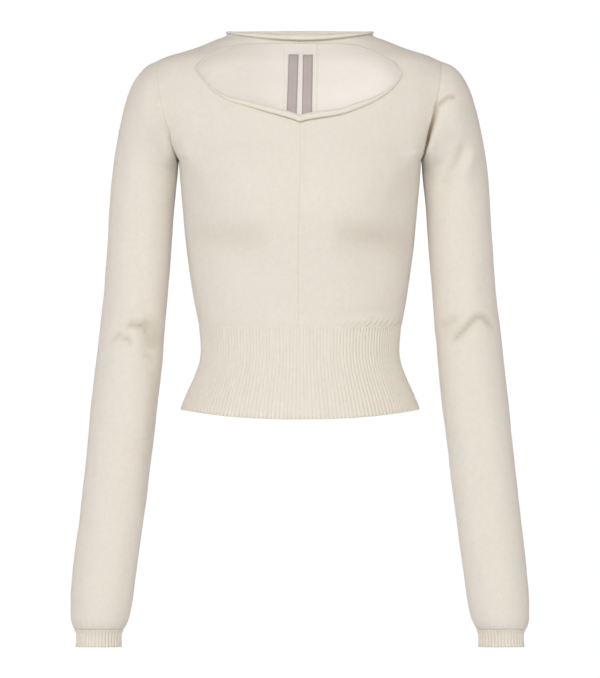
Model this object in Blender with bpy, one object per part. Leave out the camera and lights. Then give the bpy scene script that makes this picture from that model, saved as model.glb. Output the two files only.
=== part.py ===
"""Cropped knit sweater with a lens-shaped cutout under its neckband, hollow and filled out as worn.

Sizes are in millimetres and become metres when a mesh is made. +Z is up, the front faces -Y, and the
wearer holds the garment at the origin, the middle of the shoulder line. Every cloth piece is a wall: its
outer points come from the garment's form, and its inner points are those moved in along shared normals.
"""

import math
from collections import namedtuple

import bmesh
import bpy
import numpy as np
from mathutils import Vector
from mathutils.bvhtree import BVHTree

MM = 0.001

# Cloth
WALL = 1.8
HEM_WALL = 1.5
CUFF_WALL = 1.4
ROLL_WALL = 1.6
ROLL_WALL_MOST = 0.62  # of the roll's radius
SEAM_GAP = 0.34
CORNER_PULL_LEAST = 0.35  # keeps a seam's sharp corner from being drawn back too far

# Body form
SHOULDER_START_X = 92.6
SHOULDER_TIP_X = 179.3
SHOULDER_TIP_Z = -30.5
UNDERARM_Z = -155.0
ARMHOLE_FRONT_DEPTH = 50.0
ARMHOLE_BACK_DEPTH = 55.0
ARMHOLE_ROUNDNESS = 2.15
FULLNESS = 7.0
FULLNESS_X = 74.0
FULLNESS_Z = -208.0
FULLNESS_SPREAD = 46.0

# Neck and cutout
NECK_CORNER_X = 90.2
NECK_CORNER_Z = 4.6
NECK_FRONT_Z = -1.6
NECK_BACK_Z = 3.6
ROLL_FRONT_RADIUS = 3.3
ROLL_CORNER_RADIUS = 1.6
ROLL_BACK_RADIUS = 3.0
ROLL_CLEARANCE = 0.3
ROLL_START = 166.0  # degrees up from straight out of the cloth
CUTOUT_ROLL_END = -100.0
NECK_ROLL_END = -72.0
BACK_YOKE_RISE = 8.0

# Rib hem and cuffs
RIB_SEAM_SIDE_Z = -360.0
RIB_SEAM_FRONT_Z = -362.0
HEM_MIDDLE_Z = -425.0
HEM_SIDE_Z = -465.0
HEM_FRONT_Z = -476.8
HEM_BACK_Z = -468.0
HEM_RIBS = 160
HEM_ROWS = [0.0, 0.29, 0.5, 0.74, 1.0]  # shares of the way from the seam to the hem
CUFF_RIBS = 38
RIB_HEIGHT = 0.95
RIB_VALLEY = 0.3
CUFF_SEAM_Z = -739.5
CUFF_BOTTOM_Z = -761.0

# Mesh counts
COLUMNS = 14
TIP_COLUMN = 10
TIP_CROWDING = 1.25  # draws the columns together near the cutout's tip
SIDE_ROWS = 7
ARMHOLE_LOW_ROWS = 6
ARMHOLE_HIGH_ROWS = 4
ROLL_STEPS = 6
STRIP_ROWS = 10
SECTION_SAMPLES = 721
SMALL_TURN = 0.004
SHARP_ANGLE = 40.0

KNIT_COLOUR = (0.80, 0.735, 0.655)
RIB_COLOUR = (0.79, 0.72, 0.64)
TAPE_COLOUR = (0.48, 0.41, 0.39)
CLOTH_ROUGHNESS = 0.9

Depth = namedtuple("Depth", "height front back roundness")
DEPTHS = [
    Depth(8.0, 48.0, 55.0, 2.2),
    Depth(-10.0, 54.0, 64.0, 2.25),
    Depth(-30.0, 64.0, 76.0, 2.3),
    Depth(-60.0, 78.0, 90.0, 2.3),
    Depth(-100.0, 94.0, 100.0, 2.3),
    Depth(-128.0, 101.5, 103.0, 2.45),
    Depth(-155.0, 107.5, 103.0, 2.95),
    Depth(-182.0, 111.0, 102.0, 2.6),
    Depth(-215.0, 110.0, 98.5, 2.35),
    Depth(-250.0, 105.0, 93.0, 2.3),
    Depth(-300.0, 94.0, 84.0, 2.3),
    Depth(-350.0, 87.0, 77.5, 2.3),
    Depth(-388.0, 85.0, 76.5, 2.3),
    Depth(-425.0, 92.0, 87.0, 2.3),
    Depth(-455.0, 101.0, 99.0, 2.3),
    Depth(-478.0, 106.0, 104.0, 2.3),
]

Width = namedtuple("Width", "height half_width")
SIDES = [
    Width(-155.0, 151.3),
    Width(-195.0, 148.2),
    Width(-230.0, 145.4),
    Width(-262.0, 142.2),
    Width(-292.0, 137.6),
    Width(-330.0, 131.8),
    Width(-350.0, 128.4),
    Width(-366.0, 125.6),
    Width(-390.0, 124.2),
    Width(-402.0, 125.4),
    Width(-427.0, 133.4),
    Width(-447.0, 142.2),
    Width(-466.0, 149.6),
    Width(-478.0, 153.0),
]
SHOULDERS = [
    Width(SHOULDER_TIP_Z, SHOULDER_TIP_X),
    Width(-22.8, 160.5),
    Width(-18.0, 143.0),
    Width(-12.2, 126.0),
    Width(-4.2, 107.0),
    Width(1.5, SHOULDER_START_X),
    Width(NECK_CORNER_Z, NECK_CORNER_X),
    Width(12.0, NECK_CORNER_X),
]

Armhole = namedtuple("Armhole", "height front_x back_x")
ARMHOLE = [
    Armhole(UNDERARM_Z, 151.3, 151.3),
    Armhole(-141.0, 158.0, 158.6),
    Armhole(-119.0, 163.5, 165.0),
    Armhole(-102.0, 168.6, 170.4),
    Armhole(-77.0, 174.2, 175.6),
    Armhole(-52.0, 178.0, 178.5),
    Armhole(SHOULDER_TIP_Z, SHOULDER_TIP_X, SHOULDER_TIP_X),
]

Edge = namedtuple("Edge", "left_x left_z right_x right_z")
CUTOUT_LOWER = [
    Edge(0.0, -102.2, 0.0, -102.2),
    Edge(8.0, -99.0, 8.0, -99.8),
    Edge(28.0, -93.2, 28.0, -96.6),
    Edge(48.0, -88.0, 48.0, -93.6),
    Edge(72.0, -81.4, 76.0, -84.2),
    Edge(92.0, -76.6, 96.0, -76.2),
    Edge(108.0, -68.2, 110.0, -68.2),
    Edge(124.0, -53.6, 123.0, -57.0),
    Edge(130.7, -41.2, 128.4, -42.6),
]
CUTOUT_UPPER = [
    Edge(0.0, -8.4, 0.0, -8.4),
    Edge(40.0, -8.2, 40.0, -8.2),
    Edge(74.0, -7.8, 68.0, -8.8),
    Edge(88.0, -9.4, 86.0, -13.4),
    Edge(105.0, -17.0, 105.0, -22.2),
    Edge(119.0, -26.6, 120.0, -31.6),
    Edge(130.7, -41.2, 128.4, -42.6),
]
Roll = namedtuple("Roll", "share left_radius right_radius")
CUTOUT_ROLL = [
    Roll(0.0, 3.9, 3.9),
    Roll(0.15, 4.2, 4.3),
    Roll(0.45, 3.6, 3.9),
    Roll(0.7, 2.3, 3.0),
    Roll(0.85, 1.6, 1.9),
    Roll(1.0, 1.2, 1.2),
]

Sleeve = namedtuple("Sleeve", "outer_x outer_z inner_x inner_z bow front back centre_y")
SLEEVE = [
    Sleeve(189.0, -34.8, 151.9, -157.6, 8.5, 53.0, 57.0, 0.0),
    Sleeve(200.5, -45.6, 152.3, -160.2, 7.5, 55.0, 57.0, 0.0),
    Sleeve(210.8, -63.0, 152.6, -162.8, 6.0, 55.0, 56.0, 0.5),
    Sleeve(218.4, -85.0, 152.8, -165.4, 4.5, 53.5, 54.0, 1.0),
    Sleeve(224.6, -110.0, 153.0, -168.2, 3.0, 51.0, 52.0, 1.5),
    Sleeve(230.0, -138.0, 153.3, -172.5, 1.5, 48.0, 49.5, 2.0),
    Sleeve(234.5, -171.0, 154.2, -181.0, 0.5, 45.5, 47.0, 2.0),
    Sleeve(237.6, -205.0, 156.6, -206.0, 0.0, 44.0, 45.0, 2.0),
    Sleeve(240.8, -262.0, 160.3, -262.0, 0.0, 43.0, 43.5, 1.5),
    Sleeve(245.0, -320.0, 165.0, -320.0, 0.0, 42.0, 43.0, 0.0),
    Sleeve(247.2, -340.0, 166.6, -340.0, 0.0, 42.0, 43.0, -1.0),
    Sleeve(248.9, -353.0, 167.6, -353.0, 0.0, 42.0, 43.0, -2.0),
    Sleeve(250.3, -365.0, 168.4, -365.0, 0.0, 41.5, 42.5, -3.0),
    Sleeve(251.7, -378.0, 169.8, -378.0, 0.0, 41.0, 42.0, -4.2),
    Sleeve(253.6, -396.0, 171.2, -396.0, 0.0, 40.5, 41.5, -6.0),
    Sleeve(259.0, -442.0, 175.8, -442.0, 0.0, 39.0, 40.0, -11.0),
    Sleeve(266.6, -520.0, 184.8, -520.0, 0.0, 37.0, 38.0, -19.0),
    Sleeve(275.4, -600.0, 194.6, -600.0, 0.0, 35.5, 36.0, -26.5),
    Sleeve(284.2, -676.0, 205.2, -676.0, 0.0, 34.5, 35.0, -32.5),
    Sleeve(286.0, -706.0, 208.8, -706.0, 0.0, 34.0, 34.5, -34.5),
    Sleeve(285.8, -725.0, 213.0, -725.0, 0.0, 32.0, 32.5, -35.5),
    Sleeve(283.8, -734.0, 216.6, -734.0, 0.0, 29.5, 30.0, -36.0),
    Sleeve(281.6, CUFF_SEAM_Z, 219.6, CUFF_SEAM_Z, 0.0, 27.0, 27.0, -36.0),
]
SLEEVE_ROUNDNESS = 2.1
ARMHOLE_FOLD_LEFT = 2.5
ARMHOLE_FOLD_RIGHT = 7.0
CUFF = [
    Sleeve(281.2, CUFF_SEAM_Z - SEAM_GAP, 220.0, CUFF_SEAM_Z - SEAM_GAP, 0.0, 26.6, 26.6, -36.0),
    Sleeve(278.6, -746.0, 222.8, -746.0, 0.0, 24.0, 24.0, -36.0),
    Sleeve(278.6, -752.0, 223.0, -752.0, 0.0, 23.6, 23.6, -36.0),
    Sleeve(279.6, CUFF_BOTTOM_Z, 222.6, CUFF_BOTTOM_Z, 0.0, 24.2, 24.2, -36.0),
]

# Flat pieces on the inner side of the centre back. A tape lies on the knit strip.
TAPE_LIFT = 1.9
Strip = namedtuple("Strip", "name top_x top_z bottom_x bottom_z width columns lift thickness colour")
STRIPS = [
    Strip("back_strip", 0.3, -5.0, 0.3, -122.0, 44.0, 4, 0.4, 1.1, KNIT_COLOUR),
    Strip("label_left", -8.1, -20.5, -10.9, -104.0, 12.8, 2, TAPE_LIFT, 1.0, TAPE_COLOUR),
    Strip("label_right", 9.9, -21.0, 8.7, -104.0, 12.8, 2, TAPE_LIFT, 1.0, TAPE_COLOUR),
]

# Soft troughs pressed into the front of the cloth, each along a line in the front view. +X is to the right.
Fold = namedtuple("Fold", "from_x from_z to_x to_z depth spread")
FOLDS = [
    Fold(187.0, -383.0, 211.0, -362.0, 4.2, 8.0),
    Fold(211.0, -362.0, 225.0, -350.5, 4.6, 8.0),
    Fold(225.0, -350.5, 246.0, -362.0, 3.6, 7.5),
    Fold(-219.0, -363.5, -201.0, -357.5, 4.2, 7.5),
    Fold(-201.0, -357.5, -184.0, -371.0, 3.6, 7.5),
    Fold(-236.0, -374.0, -209.0, -382.0, 3.0, 7.0),
    Fold(208.0, -129.0, 193.0, -176.0, 2.6, 9.0),
    Fold(193.0, -176.0, 172.0, -195.0, 2.6, 9.0),
]


class Curve:
    """A smooth curve of numbers over a table's keys. It never swings past a row's value."""

    def __init__(self, keys, values):
        order = np.argsort(keys)
        self.keys = np.array(keys, float)[order]
        self.values = np.array(values, float)[order]
        steps = np.diff(self.keys)
        slopes = np.diff(self.values) / steps
        inner = []
        for before, after, step_before, step_after in zip(slopes, slopes[1:], steps, steps[1:]):
            if before * after <= 0:
                inner.append(0.0)
                continue
            weight_before = 2 * step_after + step_before
            weight_after = step_after + 2 * step_before
            inner.append((weight_before + weight_after) / (weight_before / before + weight_after / after))
        self.slopes = np.array([slopes[0], *inner, slopes[-1]])

    def __call__(self, key):
        key = min(max(key, self.keys[0]), self.keys[-1])
        row = min(int(np.searchsorted(self.keys, key, side="right")) - 1, len(self.keys) - 2)
        step = self.keys[row + 1] - self.keys[row]
        t = (key - self.keys[row]) / step
        start = (1 + 2 * t) * (1 - t) ** 2 * self.values[row] + t * (1 - t) ** 2 * step * self.slopes[row]
        end = t**2 * (3 - 2 * t) * self.values[row + 1] + t**2 * (t - 1) * step * self.slopes[row + 1]
        return start + end


def table_curve(table, column):
    return Curve([row[0] for row in table], [getattr(row, column) for row in table])


FRONT_DEPTH = table_curve(DEPTHS, "front")
BACK_DEPTH = table_curve(DEPTHS, "back")
ROUNDNESS = table_curve(DEPTHS, "roundness")
SIDE_WIDTH = table_curve(SIDES, "half_width")
SHOULDER_WIDTH = table_curve(SHOULDERS, "half_width")
SHOULDER_HEIGHT = Curve(*zip(*[(row.half_width, row.height) for row in SHOULDERS[:-1]]))
ARMHOLE_FRONT_X = table_curve(ARMHOLE, "front_x")
ARMHOLE_BACK_X = table_curve(ARMHOLE, "back_x")


def rounded(share, roundness):
    """The height of a superellipse of unit size at this share of its half width."""
    return max(0.0, 1.0 - min(abs(share), 1.0) ** roundness) ** (1.0 / roundness)


def armhole_depth(height, back):
    """How far the armhole's edge lies in front of the side seam, or behind it."""
    middle = (SHOULDER_TIP_Z + UNDERARM_Z) / 2
    share = (height - middle) / (SHOULDER_TIP_Z - middle)
    deepest = ARMHOLE_BACK_DEPTH if back else ARMHOLE_FRONT_DEPTH
    return deepest * rounded(share, ARMHOLE_ROUNDNESS)


def armhole_point(height, back):
    x = (ARMHOLE_BACK_X if back else ARMHOLE_FRONT_X)(height)
    depth = armhole_depth(height, back)
    return np.array([x, depth if back else -depth, height])


def form_width(height, back):
    """The half width at which the body's form turns from front to back: a virtual one in the armhole."""
    if height <= UNDERARM_Z:
        return SIDE_WIDTH(height)
    if height >= SHOULDER_TIP_Z:
        return SHOULDER_WIDTH(height)
    edge = (ARMHOLE_BACK_X if back else ARMHOLE_FRONT_X)(height)
    share = armhole_depth(height, back) / (BACK_DEPTH if back else FRONT_DEPTH)(height)
    return edge / rounded(share, ROUNDNESS(height))


def edge_width(height, back):
    """The half width at which the panel ends: its side seam or its armhole."""
    if UNDERARM_Z < height < SHOULDER_TIP_Z:
        return (ARMHOLE_BACK_X if back else ARMHOLE_FRONT_X)(height)
    return form_width(height, back)


def fullness(x, height):
    """The soft fullness of a general figure, as the cut shapes it."""
    across = (abs(x) - FULLNESS_X) / FULLNESS_SPREAD
    up = (height - FULLNESS_Z) / FULLNESS_SPREAD
    return FULLNESS * math.exp(-across * across - up * up)


def body_point(x, height, back):
    """The point of the body's outer surface at this place in the front view."""
    turn = rounded(x / form_width(height, back), ROUNDNESS(height))
    if back:
        return np.array([x, BACK_DEPTH(height) * turn, height])
    return np.array([x, -(FRONT_DEPTH(height) + fullness(x, height)) * turn, height])


def rib_seam_height(share, back):
    """The height of the seam over the rib hem, at this share of the half width."""
    middle = RIB_SEAM_SIDE_Z if back else RIB_SEAM_FRONT_Z
    return middle + (RIB_SEAM_SIDE_Z - middle) * share * share


def along(rows, share):
    """The point at this share of a smooth line through rows of (x, z)."""
    rows = np.array(rows, float)
    lengths = np.concatenate([[0.0], np.cumsum(np.linalg.norm(np.diff(rows, axis=0), axis=1))])
    at = share * lengths[-1]
    return np.array([Curve(lengths, rows[:, 0])(at), Curve(lengths, rows[:, 1])(at)])


def cutout_edge(table, side, share):
    """A point of the cutout's edge in the front view, from the centre front at 0 to the tip at 1."""
    if side < 0:
        rows = [(row.left_x, row.left_z) for row in table]
    else:
        rows = [(row.right_x, row.right_z) for row in table]
    return along(rows, share)


def edge_share(column):
    """A column's share of the cutout's edge: closer together where it turns at the tip."""
    return 1.0 - (1.0 - column / TIP_COLUMN) ** TIP_CROWDING


def neck_place(column, back):
    """The neckline's place in the front view, for columns from the centre to the corner."""
    turn = math.sin(math.pi / 2 * column / TIP_COLUMN)
    middle = NECK_BACK_Z if back else NECK_FRONT_Z
    return np.array([NECK_CORNER_X * turn, middle + (NECK_CORNER_Z - middle) * turn**2])


def shoulder_place(column):
    """The shoulder seam's place in the front view, for columns from the neck's corner to the tip."""
    step = (column - TIP_COLUMN - 1) / (COLUMNS - TIP_COLUMN - 1)
    x = SHOULDER_START_X + (SHOULDER_TIP_X - SHOULDER_START_X) * step
    return np.array([x, SHOULDER_HEIGHT(x)])


def top_place(column, back):
    return neck_place(column, back) if column <= TIP_COLUMN else shoulder_place(column)


def armhole_heights():
    """The armhole's heights from the underarm to the shoulder, even in turn round its oval."""
    rows = ARMHOLE_LOW_ROWS + ARMHOLE_HIGH_ROWS
    rise = SHOULDER_TIP_Z - UNDERARM_Z
    return [UNDERARM_Z + rise * (1 - math.cos(math.pi * row / rows)) / 2 for row in range(rows + 1)]


def column_share(column):
    """A column's share of the half width low on the body: even in turn round the body's section."""
    return math.sin(math.pi / 2 * column / COLUMNS)


def lower_grid(side, back, top_row):
    """Rows of points from the rib seam up to top_row, a place in the front view for each column."""
    heights = armhole_heights()
    side_heights = np.linspace(RIB_SEAM_SIDE_Z, UNDERARM_Z, SIDE_ROWS + 1)[:-1]
    edge_heights = [*side_heights, *heights[: ARMHOLE_LOW_ROWS + 1]]
    rise = edge_heights[-1] - edge_heights[0]
    rows = []
    for row, edge_height in enumerate(edge_heights):
        points = []
        for column, (top_x, top_z) in enumerate(top_row):
            share = column_share(column)
            low = rib_seam_height(share, back)
            even = row / (len(edge_heights) - 1)
            up = even + ((edge_height - edge_heights[0]) / rise - even) * share**3
            height = low + (top_z - low) * up
            top_share = top_x / edge_width(top_z, back)
            lean = up * up * (3 - 2 * up)
            x = edge_width(height, back) * (share + (top_share - share) * lean)
            points.append(body_point(side * x, height, back))
        rows.append(points)
    return rows


def upper_grid(side, back, low_row):
    """Rows of points from low_row up over the shoulder, to the neckline and the shoulder seam."""
    heights = armhole_heights()[ARMHOLE_LOW_ROWS:]
    rows = []
    for edge_height in heights:
        up = (edge_height - heights[0]) / (heights[-1] - heights[0])
        points = []
        for column, (low_x, low_z) in enumerate(low_row):
            top_x, top_z = top_place(column, back)
            low_share = low_x / form_width(low_z, back)
            top_share = top_x / form_width(top_z, back)
            height = low_z + (top_z - low_z) * up
            x = form_width(height, back) * (low_share + (top_share - low_share) * up)
            if column == COLUMNS:
                x = edge_width(edge_height, back)
            points.append(body_point(side * x, height, back))
        rows.append(points)
    return rows


def yoke_row(back, side=1):
    """The places where the lower grid ends: the cutout's lower edge, then a line to the armhole."""
    height = armhole_heights()[ARMHOLE_LOW_ROWS]
    end = np.array([edge_width(height, back), height])
    if back:
        xs = np.linspace(0.0, end[0], COLUMNS + 1)[:-1]
        return [*(np.array([x, height + BACK_YOKE_RISE]) for x in xs), end]
    tip = cutout_edge(CUTOUT_LOWER, side, 1.0)
    places = [cutout_edge(CUTOUT_LOWER, side, edge_share(column)) for column in range(TIP_COLUMN)]
    for column in range(TIP_COLUMN, COLUMNS + 1):
        step = (column - TIP_COLUMN) / (COLUMNS - TIP_COLUMN)
        places.append(tip + (end - tip) * step)
    return places


def strap_row(side):
    """The places where the front's upper grid starts: the cutout's upper edge, then the same line."""
    line = yoke_row(False, side)
    places = [cutout_edge(CUTOUT_UPPER, side, edge_share(column)) for column in range(TIP_COLUMN)]
    return places + line[TIP_COLUMN:]


def quads_of(rows):
    """The grid's faces as tuples of four points."""
    faces = []
    for low, high in zip(rows, rows[1:]):
        for column in range(len(low) - 1):
            faces.append((low[column], low[column + 1], high[column + 1], high[column]))
    return faces


def flipped(faces):
    return [face[::-1] for face in faces]


def front_faces(side):
    lower = lower_grid(side, False, yoke_row(False, side))
    upper = upper_grid(side, False, strap_row(side))
    faces = quads_of(lower) + quads_of(upper)
    return faces if side > 0 else flipped(faces)


def back_faces():
    faces = []
    for side in (-1, 1):
        row = yoke_row(True)
        half = quads_of(lower_grid(side, True, row)) + quads_of(upper_grid(side, True, row))
        faces += half if side < 0 else flipped(half)
    return faces


def pressed(point, outward):
    """The point pushed in where a fold's trough crosses the front of the cloth."""
    if outward[1] > 0:
        return point
    place = np.array([point[0], point[2]])
    depth = 0.0
    for fold in FOLDS:
        start = np.array([fold.from_x, fold.from_z])
        line = np.array([fold.to_x, fold.to_z]) - start
        share = min(max((place - start) @ line / (line @ line), 0.0), 1.0)
        away = np.linalg.norm(place - start - share * line) / fold.spread
        depth = max(depth, fold.depth * math.exp(-away * away))
    return point - outward * depth * -outward[1]


def armhole_fold(side, turn, section):
    """How far the sleeve's cloth stands out low on the front of the armhole, over its seam."""
    deepest = ARMHOLE_FOLD_RIGHT if side > 0 else ARMHOLE_FOLD_LEFT
    near = section.bow / SLEEVE[0].bow
    return deepest * near * 2 * max(0.0, math.sin(turn)) * max(0.0, -math.cos(turn))


def sleeve_ring(side, section):
    """A closed ring of the sleeve: the top of the arm first, then round by the front."""
    count = 2 * (ARMHOLE_LOW_ROWS + ARMHOLE_HIGH_ROWS)
    outer = np.array([side * section.outer_x, section.centre_y, section.outer_z])
    inner = np.array([side * section.inner_x, section.centre_y, section.inner_z])
    points = []
    for step in range(count):
        turn = 2 * math.pi * step / count
        across = math.cos(turn)
        depth = section.front if turn <= math.pi else section.back
        y = depth * rounded(across, SLEEVE_ROUNDNESS) * (-1 if turn <= math.pi else 1)
        bow = side * section.bow * (1 - across * across)
        y -= armhole_fold(side, turn, section)
        point = inner + (outer - inner) * (1 + across) / 2 + np.array([bow, y, 0.0])
        centre = (outer + inner) / 2
        outward = (point - centre) / np.linalg.norm(point - centre)
        points.append(pressed(point, outward))
    return points


def armhole_ring(side):
    heights = armhole_heights()
    front = [armhole_point(height, False) for height in reversed(heights)]
    back = [armhole_point(height, True) for height in heights[1:-1]]
    return [point * np.array([side, 1.0, 1.0]) for point in front + back]


def sleeve_faces(side):
    rings = [armhole_ring(side)] + [sleeve_ring(side, section) for section in SLEEVE]
    faces = quads_of([[*ring, ring[0]] for ring in rings])
    return faces if side > 0 else flipped(faces)


def key_of(point):
    return tuple(int(round(value * 1000)) for value in point)


def shared_normals(pieces):
    """One outward normal for each place, from the faces of every piece that meets there."""
    sums = {}
    for faces in pieces.values():
        for face in faces:
            for corner, point in enumerate(face):
                before = face[corner - 1] - point
                after = face[(corner + 1) % 4] - point
                normal = np.cross(after, before)
                size = np.linalg.norm(normal)
                lengths = np.linalg.norm(before) * np.linalg.norm(after)
                if size < 1e-9 or lengths < 1e-9:
                    continue
                angle = math.atan2(size, before @ after)
                key = key_of(point)
                sums[key] = sums.get(key, np.zeros(3)) + normal / size * angle
    return {key: total / np.linalg.norm(total) for key, total in sums.items()}


def indexed(faces):
    """The faces' points without repeats, and each face as numbers into them."""
    numbers = {}
    points = []
    polygons = []
    for face in faces:
        polygon = []
        for point in face:
            key = key_of(point)
            if key not in numbers:
                numbers[key] = len(points)
                points.append(np.array(point, float))
            if numbers[key] not in polygon:
                polygon.append(numbers[key])
        if len(polygon) > 2:
            polygons.append(polygon)
    return points, polygons


def boundary_edges(polygons):
    """The directed edges that only one face has."""
    edges = set()
    for polygon in polygons:
        for start, end in zip(polygon, polygon[1:] + polygon[:1]):
            edges.add((start, end))
    return [edge for edge in edges if edge[::-1] not in edges]


def parted(points, polygons, normals, others):
    """The points, with those on a seam drawn back from it by half the seam's gap."""
    pulls = {}
    for start, end in boundary_edges(polygons):
        if key_of(points[start]) not in others or key_of(points[end]) not in others:
            continue
        line = points[end] - points[start]
        for corner in (start, end):
            inward = np.cross(normals[key_of(points[corner])], line)
            pulls.setdefault(corner, []).append(inward / np.linalg.norm(inward))
    moved = list(points)
    for corner, ways in pulls.items():
        total = sum(ways)
        if len(ways) == 2:
            total = total / max(1.0 + ways[0] @ ways[1], CORNER_PULL_LEAST)
        moved[corner] = points[corner] + total * SEAM_GAP / 2
    return moved


def wall_mesh(points, polygons, normals, thickness):
    """(points, faces) of a closed wall that grows inward from this surface."""
    count = len(points)
    inner = [point - normal * thickness for point, normal in zip(points, normals)]
    faces = list(polygons)
    faces += [[number + count for number in reversed(polygon)] for polygon in polygons]
    faces += [[end, start, start + count, end + count] for start, end in boundary_edges(polygons)]
    return points + inner, faces


def cloth_material(name, colour):
    """A material of plain cloth for one piece."""
    material = bpy.data.materials.new(name)
    material.use_nodes = True
    shader = material.node_tree.nodes["Principled BSDF"]
    shader.inputs["Base Color"].default_value = (*colour, 1.0)
    shader.inputs["Roughness"].default_value = CLOTH_ROUGHNESS
    shader.inputs["Metallic"].default_value = 0.0
    material.diffuse_color = (*colour, 1.0)
    return material


def make_object(name, points, faces, colour=KNIT_COLOUR):
    mesh = bpy.data.meshes.new(name)
    mesh.from_pydata([tuple(point * MM) for point in points], [], faces)
    mesh.update()
    solid = bpy.data.objects.new(name, mesh)
    bpy.context.scene.collection.objects.link(solid)
    mesh.materials.append(cloth_material(name, colour))
    work = bmesh.new()
    work.from_mesh(mesh)
    bmesh.ops.recalc_face_normals(work, faces=work.faces)
    bmesh.ops.triangulate(work, faces=work.faces, quad_method="SHORT_EDGE")
    work.to_mesh(mesh)
    work.free()
    mesh.shade_smooth()
    mesh.set_sharp_from_angle(angle=math.radians(SHARP_ANGLE))


def make_panels():
    """The front halves, the back and the sleeves, whose walls meet along shared seams."""
    pieces = {
        "front_left": front_faces(-1),
        "front_right": front_faces(1),
        "back": back_faces(),
        "sleeve_left": sleeve_faces(-1),
        "sleeve_right": sleeve_faces(1),
    }
    normals = shared_normals(pieces)
    keys = {name: {key_of(point) for face in faces for point in face} for name, faces in pieces.items()}
    for name, faces in pieces.items():
        others = set().union(*(keys[other] for other in pieces if other != name))
        points, polygons = indexed(faces)
        directions = [normals[key_of(point)] for point in points]
        moved = parted(points, polygons, normals, others)
        make_object(name, *wall_mesh(moved, polygons, directions, WALL))
    return normals


def section_turns(section_at, count):
    """Turns round a section that lie at even lengths along it, from the centre front round by +X."""
    fine = np.linspace(0.0, 2 * math.pi, SECTION_SAMPLES)
    points = np.array([section_at(turn) for turn in fine])
    lengths = np.concatenate([[0.0], np.cumsum(np.linalg.norm(np.diff(points, axis=0), axis=1))])
    return np.interp(np.arange(count) / count * lengths[-1], lengths, fine)


def oval(turn, half_width, front, back, roundness):
    """A point of a rounded section, seen from above. Turn 0 is the centre front and a quarter is +X."""
    depth = front if math.cos(turn) > 0 else back
    x = half_width * math.copysign(abs(math.sin(turn)) ** (2 / roundness), math.sin(turn))
    y = -depth * math.copysign(abs(math.cos(turn)) ** (2 / roundness), math.cos(turn))
    return np.array([x, y])


def oval_outward(turn, half_width, front, back, roundness):
    ahead = oval(turn + SMALL_TURN, half_width, front, back, roundness)
    behind = oval(turn - SMALL_TURN, half_width, front, back, roundness)
    along_it = (ahead - behind) / np.linalg.norm(ahead - behind)
    return np.array([along_it[1], -along_it[0]])


def ribbed_tube(name, section_at, place_at, rib_count, rows, wall):
    """A tube whose outside has vertical ribs and whose inside is plain, with one inner point for two ribs.

    section_at(turn) is a section to space the ribs on. place_at(turn, row) gives a point and its outward.
    """
    outer_count = 2 * rib_count
    inner_count = rib_count // 2
    outer_turns = section_turns(section_at, outer_count)
    inner_turns = outer_turns[::4]
    points = []
    for row in range(rows):
        for number, turn in enumerate(outer_turns):
            point, outward = place_at(turn, row)
            points.append(point + outward * (RIB_HEIGHT if number % 2 else -RIB_VALLEY))
    inner_start = len(points)
    for row in range(rows):
        for turn in inner_turns:
            point, outward = place_at(turn, row)
            points.append(point - outward * wall)
    faces = []
    for row in range(rows - 1):
        for step in range(outer_count):
            low = row * outer_count
            after = (step + 1) % outer_count
            faces.append([low + step, low + after, low + after + outer_count, low + step + outer_count])
        for step in range(inner_count):
            low = inner_start + row * inner_count
            after = (step + 1) % inner_count
            faces.append([low + after, low + step, low + step + inner_count, low + after + inner_count])
    for row in (0, rows - 1):
        for step in range(inner_count):
            ring = row * outer_count
            outer = [ring + (4 * step + number) % outer_count for number in range(5)]
            here = inner_start + row * inner_count + step
            after = inner_start + row * inner_count + (step + 1) % inner_count
            fan = [
                [here, outer[0], outer[1]],
                [here, outer[1], outer[2]],
                [here, outer[2], after],
                [after, outer[2], outer[3]],
                [after, outer[3], outer[4]],
            ]
            faces += fan if row else [triangle[::-1] for triangle in fan]
    make_object(name, points, faces, RIB_COLOUR)


def make_hem():
    """The deep rib band, from its seam at the waist out to the hem."""

    def sizes_at(height):
        return SIDE_WIDTH(height), FRONT_DEPTH(height), BACK_DEPTH(height), ROUNDNESS(height)

    def mid_section(turn):
        return oval(turn, *sizes_at(HEM_MIDDLE_Z))

    def place(turn, row):
        back = math.cos(turn) < 0
        middle = math.cos(turn) ** 2
        top = rib_seam_height(abs(math.sin(turn)), back) - SEAM_GAP
        end = HEM_BACK_Z if back else HEM_FRONT_Z
        bottom = HEM_SIDE_Z + (end - HEM_SIDE_Z) * middle
        height = top + (bottom - top) * HEM_ROWS[row]
        outward = oval_outward(turn, *sizes_at(height))
        return np.array([*oval(turn, *sizes_at(height)), height]), np.array([*outward, 0.0])

    ribbed_tube("rib_hem", mid_section, place, HEM_RIBS, len(HEM_ROWS), HEM_WALL)


def make_cuff(name, side):
    """The narrow rib cuff at a sleeve's end."""

    def place(turn, row):
        section = CUFF[row]
        half = (section.outer_x - section.inner_x) / 2
        middle = side * (section.outer_x + section.inner_x) / 2
        sizes = (half, section.front, section.back, SLEEVE_ROUNDNESS)
        x, y = oval(turn, *sizes)
        outward = oval_outward(turn, *sizes)
        return np.array([middle + x, section.centre_y + y, section.outer_z]), np.array([*outward, 0.0])

    def last_section(turn):
        return place(turn, len(CUFF) - 1)[0][:2]

    ribbed_tube(name, last_section, place, CUFF_RIBS, len(CUFF), CUFF_WALL)


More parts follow.
